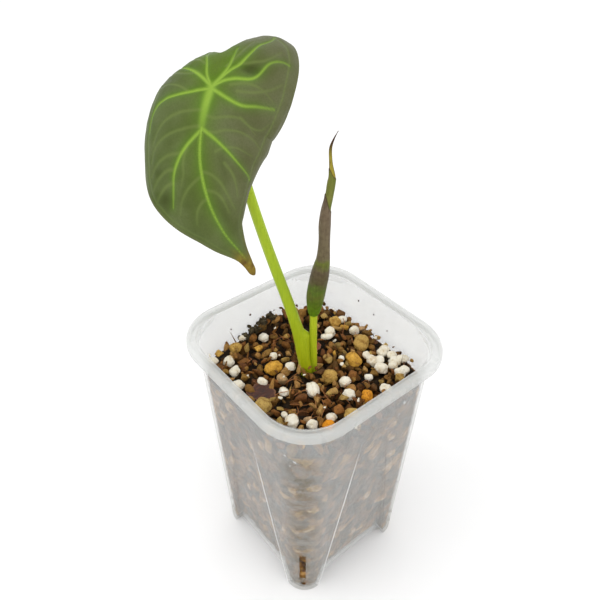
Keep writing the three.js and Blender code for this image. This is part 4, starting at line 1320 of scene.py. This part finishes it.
def blade_side(spokes, rings):
    """Upper face, lower face and lip of the blade, with the fields that its skin reads."""
    around = closed_curve(outline_points, spokes)
    steps = (np.arange(rings + 1) / rings) ** 0.9
    flat = np.concatenate([[[0, 0]], *(around * t for t in steps[1:])])
    share = np.concatenate([[0], np.repeat(steps[1:], spokes)])
    u, v = flat[:, 0], flat[:, 1]
    fields = vein_fields(u, v)
    relief = fields.pop("relief")
    middle = bend(u, v)
    normal = blade_normals(u, v)
    rim = np.minimum(1, np.abs(u) / np.maximum(blade_half_width(v), 8))
    wave = BLADE_WAVE * rim ** 3 * np.sin(2 * math.pi * v / BLADE_WAVE_LENGTH + np.sign(u) * 1.3)
    dip = np.zeros(u.shape)
    dark = np.zeros(u.shape)
    # Each hollow sinks the blade by its depth and adds painted shade by its darkness
    for (a, b), (wide, high), depth, darkness in HOLLOWS:
        spot = np.exp(-(((u - a) / wide) ** 2 + ((v - b) / high) ** 2))
        dip += depth * spot
        dark += darkness * spot
    swell = np.array([noise.noise(Vector((a * SWELL_PITCH, b * SWELL_PITCH, 2.0))) for a, b in flat])
    puff = np.array([noise.noise(Vector((a * PUFF_PITCH, b * PUFF_PITCH, 7.0))) for a, b in flat])
    calm = 1 - smoothstep(0.9, 1.0, share)
    tail = smoothstep(*TAIL_SPAN, v)
    height = (SWELL_HEIGHT * swell + PUFF_HEIGHT * puff) * calm * tail - VEIN_SINK * relief * tail - dip
    height += VEIN_BULGE * (1 - np.exp(-((1 - fields["vein"]) * 1.5))) * calm * tail
    thick = BLADE_THICK / 2 * (1 - 0.55 * smoothstep(0.88, 1.0, share))
    ribs = RIB_HEIGHT * relief * tail + MIDRIB_HEIGHT * np.exp(-((u / 1.1) ** 2))
    upper = middle + normal * (wave + height + thick)[:, None]
    lower = middle + normal * (wave + height - thick - ribs)[:, None]
    edge = middle[-spokes:] + normal[-spokes:] * (wave + height)[-spokes:, None]
    outward = edge - middle[-2 * spokes:-spokes]
    lip = edge + outward / np.linalg.norm(outward, axis=1)[:, None] * LIP_ROUND
    midrib = 0.5 * np.exp(-((u / 5) ** 2)) * smoothstep(-54, -20, v)
    crown = np.exp(-((u / 9) ** 2 + ((v - 8) / 7) ** 2)) + midrib
    # side: how far right a point lies, where the painted sheen greys the skin
    fields.update(glow=np.minimum(fields["glow"], 1), crown=np.minimum(crown, 1), edge=share,
                  hollow=np.minimum(dark, 1), side=smoothstep(-14, 16, u),
                  tip=smoothstep(-43, -51, v + 1.2 * np.sin(u * 1.3)))
    return upper, lower, lip, fields


def ring_faces(spokes, rings, first):
    """Faces of rings of points round a middle point, turned up."""
    faces = []
    for k in range(spokes):
        after = (k + 1) % spokes
        faces.append((first, first + 1 + after, first + 1 + k))
        for i in range(rings - 1):
            a = first + 1 + i * spokes + k
            b = first + 1 + i * spokes + after
            faces.append((a, b, b + spokes, a + spokes))
    return faces


def make_blade(material):
    """The blade as one closed skin. Its underside has half as many spokes and rings as its face."""
    upper, _, lip, fields = blade_side(SPOKES, RINGS)
    _, lower, _, under = blade_side(SPOKES // 2, RINGS // 2)
    lower_start = len(upper)
    lip_start = lower_start + len(lower)
    top = lower_start - SPOKES
    low = lip_start - SPOKES // 2
    faces = ring_faces(SPOKES, RINGS, 0)
    faces += [tuple(reversed(face)) for face in ring_faces(SPOKES // 2, RINGS // 2, lower_start)]
    for k in range(SPOKES):
        after = (k + 1) % SPOKES
        faces.append((top + k, top + after, lip_start + after, lip_start + k))
    for k in range(SPOKES // 2):
        after = (k + 1) % (SPOKES // 2)
        faces.append((lip_start + 2 * k, lip_start + 2 * k + 1, lip_start + 2 * after, low + after, low + k))
    joint = {key: np.concatenate([fields[key], under[key], fields[key][-SPOKES:]]) for key in fields}
    lip_under = np.full(SPOKES, UNDER_SHARE_OF_LIP)
    joint["under"] = np.concatenate([np.zeros(len(upper)), np.ones(len(lower)), lip_under])
    mesh = make_mesh("blade", np.concatenate([upper, lower, lip]), faces, joint)
    return add_piece("LeafBlade", mesh, material, ["leaf_blade"])


# Stalks
def on_plane(side, z, towards=0.0):
    """A point in the upright plane that faces the camera, through the pot's axis."""
    return side * VIEW_SIDE + towards * VIEW_TOWARDS + np.array([0, 0, z])


STALK_PATH = ((-1.6, CORM_TOP), (-2, 91), (-3.1, 98), (-4.5, 106), (-6.6, 115), (-9, 124), (-13.6, 140),
              (-17.6, 155))
STALK_BEND = (-23, 177, -0.5)
STALK_UNDER_HUB = 0.98
STALK_RADIUS = 2.25
STALK_TOP_RADIUS = 1.35
STALK_ROWS = 150
STALK_SIDES = 64
STALK_RIBS = 9
STALK_RIB_DEPTH = 0.015
# The sheath's swell: its height, and its middle and spread along the stalk
SHEATH_SWELL = 0.5
SHEATH_AT = 0.13
SHEATH_SPREAD = 0.09
# The sheath's two raised margins: their angles, height and spread
SHEATH_MARGINS = (0.95, -0.95)
MARGIN_HEIGHT = 0.34
MARGIN_SPREAD = 0.16
# The web towards the new stalk: between which heights it ends, how far it runs in and how wide it is
WEB_HEIGHTS = (107.2, 110.5)
WEB_OVERLAP = 0.3
WEB_DENT = 0.62
WEB_SPREAD = 0.55
NEW_STALK_PATH = ((0.3, CORM_TOP), (0.3, 93), (0.1, 101), (0, 110), (0, 118.6))
NEW_STALK_RADIUS = 1.3
NEW_STALK_SIDES = 40


def near_angle(angles, middle, spread):
    """One at an angle, falling to none away from it."""
    return np.exp(-(((angles - middle + math.pi) % (2 * math.pi) - math.pi) / spread) ** 2)


def make_stalk(material):
    """The grown leaf's stalk. Its sheath holds the new stalk's foot and closes the fork with a short web."""
    below = HUB - blade_normal * STALK_UNDER_HUB
    path = curve_through([*(on_plane(*p) for p in STALK_PATH), on_plane(*STALK_BEND), below], STALK_ROWS)
    new_sides, new_heights = np.array(NEW_STALK_PATH).T

    def radius(t, angles):
        body = STALK_RADIUS + (STALK_TOP_RADIUS - STALK_RADIUS) * t ** 0.8
        body += SHEATH_SWELL * math.exp(-(((t - SHEATH_AT) / SHEATH_SPREAD) ** 2))
        sheath = float(smoothstep(0.26, 0.18, t) * smoothstep(0.06, SHEATH_AT, t))
        margins = sum(near_angle(angles, a, MARGIN_SPREAD) for a in SHEATH_MARGINS)
        x, y, z = path[round(t * (STALK_ROWS - 1))]
        gap = float(np.interp(z, new_heights, new_sides)) - (x * VIEW_SIDE[0] + y * VIEW_SIDE[1])
        web = max(gap - NEW_STALK_RADIUS + WEB_OVERLAP - body, -WEB_DENT)
        web *= float(smoothstep(*WEB_HEIGHTS[::-1], z))
        ribs = STALK_RIB_DEPTH * np.cos(angles * STALK_RIBS)
        round_top = 1 - 0.35 * float(smoothstep(0.985, 1.0, t))
        stalk = body * round_top * (1 + ribs)
        return stalk + sheath * MARGIN_HEIGHT * margins + web * near_angle(angles, 0, WEB_SPREAD)

    rings = tube_rings(path, radius, STALK_SIDES, VIEW_SIDE)
    way = np.repeat(np.linspace(0, 1, len(rings)), STALK_SIDES)
    mesh = loft("stalk", rings, {"way": way})
    return add_piece("LeafStalk", mesh, material, ["leaf_petiole"], sharp=60)


def make_new_stalk(material):
    path = curve_through([on_plane(*p) for p in NEW_STALK_PATH], 60)
    rings = tube_rings(path, lambda t, a: NEW_STALK_RADIUS * (1 + 0.02 * np.cos(a * 7)), NEW_STALK_SIDES)
    way = np.repeat(np.linspace(0, 1, len(rings)), NEW_STALK_SIDES)
    mesh = loft("new_stalk", rings, {"way": way})
    return add_piece("NewLeafStalk", mesh, material, ["new_leaf_petiole"])


# Rolled leaf: way sideways, height and width
ROLL_STATIONS = np.array([
    (0, 117.5, 2.9), (0.1, 119.5, 4.3), (0.4, 124, 5.7), (0.8, 128, 6), (1.7, 134, 5.8), (2.3, 138, 5),
    (2.7, 141, 4.2), (2.9, 147, 3.5), (2.9, 153, 3.6), (3.2, 158, 3.1), (3.9, 162, 2.8), (4.5, 167, 2.9),
    (4.7, 169.5, 2.5), (4.2, 173.5, 1.7), (4, 178, 1.5), (4.9, 181, 1.1), (6, 183.2, 0.7),
])
ROLL_ROWS = 260
ROLL_SIDES = 96
WRAP_STEP = 0.2
ROLL_FOOT = 117.5
ROLL_HEIGHT = 66
ROLL_LEAST = 0.12
# The next wrap's step as a share of the first one's, and how soft both ends are
LAP_SHARE = 0.8
WRAP_EDGE = 0.16
# Where the flattened tip sets in, and how flat and how deeply grooved it is
TIP_SPAN = (168, 173)
TIP_FLATNESS = 0.45
TIP_GROOVE = 0.55
# The seam: its angle at the foot, its turn with each millimetre and its step
SEAM_START = 0.6
SEAM_TURN = 0.028
SEAM_STEP = 0.1
PLEATS = 6
PLEAT_DEPTH = 0.012
PLEAT_TURN = 0.25
# Half width of the dark brink at the end of each wrap
WRAP_BRINK = 0.28
LAP_BRINK = 0.25
# The outer wrap and the next one each end along a slanted line: its middle height and its slope
WRAP_LINE = (160.6, -3.0)
LAP_LINE = (170.2, -1.6)


def make_rolled_leaf(material):
    """The new leaf, rolled up: two wraps that end on slanted lines and a twisted, flattened tip."""
    line = curve_through(ROLL_STATIONS, ROLL_ROWS)
    angles = np.linspace(0, 2 * math.pi, ROLL_SIDES, endpoint=False)
    front = math.atan2(VIEW_TOWARDS[1], VIEW_TOWARDS[0])
    sideways = np.sin(angles - front)
    facing = np.cos(angles - front)
    rings, fields = [], {"height": [], "middle": [], "top": [], "brink": []}
    for side, z, width in line:
        wrap_end = WRAP_LINE[0] + WRAP_LINE[1] * sideways
        lap_end = LAP_LINE[0] + LAP_LINE[1] * sideways
        wrapped = smoothstep(WRAP_EDGE, -WRAP_EDGE, z - wrap_end)
        lapped = smoothstep(WRAP_EDGE, -WRAP_EDGE, z - lap_end)
        above = float(smoothstep(*TIP_SPAN, z))
        seam = (angles - SEAM_START - SEAM_TURN * (z - ROLL_FOOT)) / (2 * math.pi) % 1
        radius = (width / 2 - ROLL_LEAST) * (1 - SEAM_STEP / 2 + SEAM_STEP * seam)
        radius = radius + WRAP_STEP * (wrapped - 0.5) + WRAP_STEP * LAP_SHARE * (lapped - 0.5)
        flat = 1 - above * TIP_FLATNESS * np.abs(facing)
        groove = 1 - above * TIP_GROOVE * np.exp(-((1 - facing) / 0.18))
        pleats = 1 + PLEAT_DEPTH * np.cos(angles * PLEATS + z * PLEAT_TURN)
        radius = np.maximum(radius * flat * groove * pleats, ROLL_LEAST)
        rings.append(on_plane(side, z) + level_ring(radius[:, None] * circle(angles), 0))
        dry = 0.8 * above * np.exp(-((1 - np.abs(sideways)) / 0.1))
        ends = np.exp(-((z - wrap_end) / WRAP_BRINK) ** 2) + np.exp(-((z - lap_end) / LAP_BRINK) ** 2)
        fields["height"].append(np.full(ROLL_SIDES, (z - ROLL_FOOT) / ROLL_HEIGHT))
        fields["middle"].append(1 - wrapped)
        fields["top"].append(1 - lapped)
        fields["brink"].append(np.clip(ends + dry, 0, 1))
    mesh = loft("roll", rings, {key: np.concatenate(rows) for key, rows in fields.items()})
    return add_piece("NewLeafRolled", mesh, material, ["new_leaf_rolled"], sharp=60)


# Drops outside on the pot, and specks of dirt inside on its back walls: way sideways, height and size
DROPS = ((-9.6, 90.5, 1.1), (-6.4, 88.3, 1.3), (31.5, 92.5, 1.0), (33.6, 90.6, 0.8), (29.4, 87.5, 0.6),
         (-8, 86.4, 0.6), (26, 84, 0.7))
SPECKS = ((-24, 98.4, 0.9), (-31, 96, 0.6), (19, 100, 0.8), (23.5, 98.6, 0.7), (8, 97, 0.4), (-15, 95, 0.6),
          (29, 95.5, 0.6))


def on_wall(side, z, inset, towards):
    """The place on the wall this far sideways, on the camera's side or on the far one, and its normal."""
    ring = wall_ring(z, inset)
    ahead = np.roll(ring, -1, axis=0) - np.roll(ring, 1, axis=0)
    out = np.column_stack([ahead[:, 1], -ahead[:, 0], np.zeros(len(ring))])
    out /= np.linalg.norm(out, axis=1)[:, None]
    facing = (ring @ VIEW_TOWARDS) * towards > 0
    miss = np.abs(ring @ VIEW_SIDE - side) + np.where(facing, 0, 1000)
    k = int(np.argmin(miss))
    return ring[k], out[k]


def make_dots(name, places, inset, towards, flatness, material):
    """Small rounded drops or specks that sit on the wall."""
    unit, faces = ball(3)
    dots = []
    for seed, (side, z, size) in enumerate(places, 1):
        at, out = on_wall(side, z, inset, towards)
        form = lumpy(unit, seed, 0.9, 0.2) * size / 2 * (1, 1.15, flatness)
        dots.append((form @ np.stack([np.cross((0, 0, 1), out), (0, 0, 1), out]) + at, faces, {}))
    return add_piece(name, joined(name, dots), material)


# The dark moss in a few lumps against the back wall: middle and half widths of each
MOSS_LUMPS = (
    ((-29.6, -9.2, 92.2), (2.0, 2.6, 1.8)), ((-29.4, -5.4, 93.8), (2.0, 2.8, 2.2)),
    ((-29.4, 3.4, 96.0), (2.0, 2.2, 1.8)), ((-29.6, -1, 94.6), (2.0, 3.0, 1.8)),
)
MOSS_BITS = 110


def make_moss(material):
    """Dark crumbly moss, heaped against the wall."""
    rng = np.random.default_rng(91)
    forms = chip_forms(rng, 6)
    bits = []
    for k in range(MOSS_BITS):
        unit, faces = forms[k % len(forms)]
        middle, half = np.array(MOSS_LUMPS[k % len(MOSS_LUMPS)])
        way = rng.normal(size=3)
        way *= rng.uniform(0, 1) / np.linalg.norm(way)
        bit = turned(unit * (0.6, 0.5, 0.4) * rng.uniform(1.6, 3.2), rng)
        bits.append((bit + middle + way * half, faces, {}))
    return add_piece("MossClump", joined("moss", bits), material, sharp=50)


# Stage
def make_floor():
    bm = bmesh.new()
    bmesh.ops.create_circle(bm, cap_ends=True, segments=96, radius=FLOOR_RADIUS)
    mesh = bpy.data.meshes.new("Floor")
    bm.to_mesh(mesh)
    bm.free()
    mesh.materials.append(plain_material("pale_floor", (0.93, 0.93, 0.93), 0.9))
    floor = bpy.data.objects.new("Floor", mesh)
    bpy.context.scene.collection.objects.link(floor)


def make_sky():
    """An even white sky all round."""
    world = bpy.data.worlds.new("Studio")
    world.use_nodes = True
    sky = next(n for n in world.node_tree.nodes if n.type == "BACKGROUND")
    sky.inputs["Color"].default_value = (*WHITE, 1)
    sky.inputs["Strength"].default_value = SKY_STRENGTH
    bpy.context.scene.world = world


def make_lamp(name, place, size, power):
    """A round soft lamp that aims at the middle of the plant."""
    light = bpy.data.lights.new(name, "AREA")
    light.shape = "DISK"
    light.size = size
    light.energy = power
    lamp = bpy.data.objects.new(name, light)
    lamp.location = place
    lamp.rotation_euler = (Vector(LAMP_AIM) - lamp.location).to_track_quat("-Z", "Y").to_euler()
    bpy.context.scene.collection.objects.link(lamp)


def make_camera():
    """The camera at the photograph's angle, distance and lens."""
    level = math.cos(CAMERA_RISE)
    sideways, forwards = math.sin(CAMERA_AZIMUTH) * level, math.cos(CAMERA_AZIMUTH) * level
    back = Vector((sideways, -forwards, math.sin(CAMERA_RISE)))
    camera = bpy.data.cameras.new("Camera")
    camera.lens = LENS
    camera.sensor_width = SENSOR
    camera.clip_start = 0.01
    eye = bpy.data.objects.new("Camera", camera)
    eye.location = Vector(in_frame(CAMERA_TARGET)) + back * CAMERA_AWAY * MM
    eye.rotation_euler = back.to_track_quat("Z", "Y").to_euler()
    bpy.context.scene.collection.objects.link(eye)
    bpy.context.scene.camera = eye
    bpy.context.scene.view_settings.view_transform = "Standard"


def crumb_tone(rng):
    """The tone of a bark crumb, from dark brown to pale."""
    return float(0.24 + 0.68 * rng.beta(2.0, 1.8))


# Build
make_floor()
make_sky()
make_lamp("Key", (-0.35, -0.75, 0.85), 0.9, 2.6)
make_lamp("Fill", (0.9, 0.1, 0.7), 0.9, 1.4)
make_camera()

stalk_skin = stalk_material("leaf_stalk_skin", (0.4, 0.44, 0.004), (0.31, 0.42, 0.02), (0.4, 0.54, 0.03))
new_stalk_skin = stalk_material("new_stalk_skin", (0.36, 0.42, 0.02), (0.42, 0.5, 0.014), (0.4, 0.48, 0.02))
stalk = make_stalk(stalk_skin)
new_stalk = make_new_stalk(new_stalk_skin)
make_blade(blade_material())
make_rolled_leaf(roll_material())

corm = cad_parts["corm_with_roots"]
corm.data.materials.clear()
corm.data.materials.append(corm_material())

make_pot(plastic_material())
crumb_skin = mix_material("crumbs", 0.8)
make_mix_body(mix_material("mix_body", 1.2),
              [node_mesh("corm_with_roots"), stalk.data.copy(), new_stalk.data.copy()])

perlite_skin = perlite_material()
clay_skin = clay_material()
make_grains(clay_skin, perlite_skin)
bark_skin = bark_material()
make_bark_chip(1, bark_skin, 0.0)
make_bark_chip(2, bark_skin, 0.8)

# Places that loose crumbs keep free: both stalks, the bark, the moss, the grains of the nodes and the others
taken = [(*on_plane(-1.9, 0)[:2], 1.2), (*on_plane(0.3, 0)[:2], 1.1), (-1.6, -21.8, 3.2), (-4.4, -20.2, 2.2),
         (1.2, -23.4, 2.2), (-9, 8, 2.4)]
for name in grain_names():
    middle, half, _, _ = node_axes(name)
    taken.append((middle[0], middle[1], max(half) * 0.85))
taken += [(row[0], row[1], row[3] * 0.4) for row in MORE_PERLITE + MORE_CLAY]

# The lower crumbs' tones are cut to 0.68 of the upper ones' as painted shade under them
make_crumbs("CrumbsBelow", crumb_skin, (3000, (4.4, 6.2), 0.64, MIX_LEVEL - 1.5, []),
            lambda rng: 0.68 * crumb_tone(rng), 20)
make_crumbs("Crumbs", crumb_skin, (4200, (3.6, 6.0), 0.72, MIX_LEVEL + 0.6, taken), crumb_tone, 21)
make_crumbs("CrumbsSmall", crumb_skin, (260, (1.6, 2.8), 0.9, MIX_LEVEL + 2.0, taken), crumb_tone, 22)
make_crumbs("PerliteBits", perlite_skin, (30, (1.3, 2.2), 1.0, MIX_LEVEL + 2.5, taken),
            lambda rng: 0.0, 35)
make_crumbs("ClayBits", clay_skin, (60, (2.4, 4), 1.0, MIX_LEVEL + 1.3, taken),
            lambda rng: float(rng.uniform(0, 0.7)), 36)
make_more_grains("PerliteLoose", MORE_PERLITE, perlite_skin, "perlite")
make_more_grains("ClayLoose", MORE_CLAY, clay_skin, "clay")
make_moss(moss_material())
make_dots("WaterDrops", DROPS, 0, 1, 0.5, water_material())
make_dots("WallSpecks", SPECKS, WALL, -1, 0.3, bark_skin)
make_fibres(fibre_material())
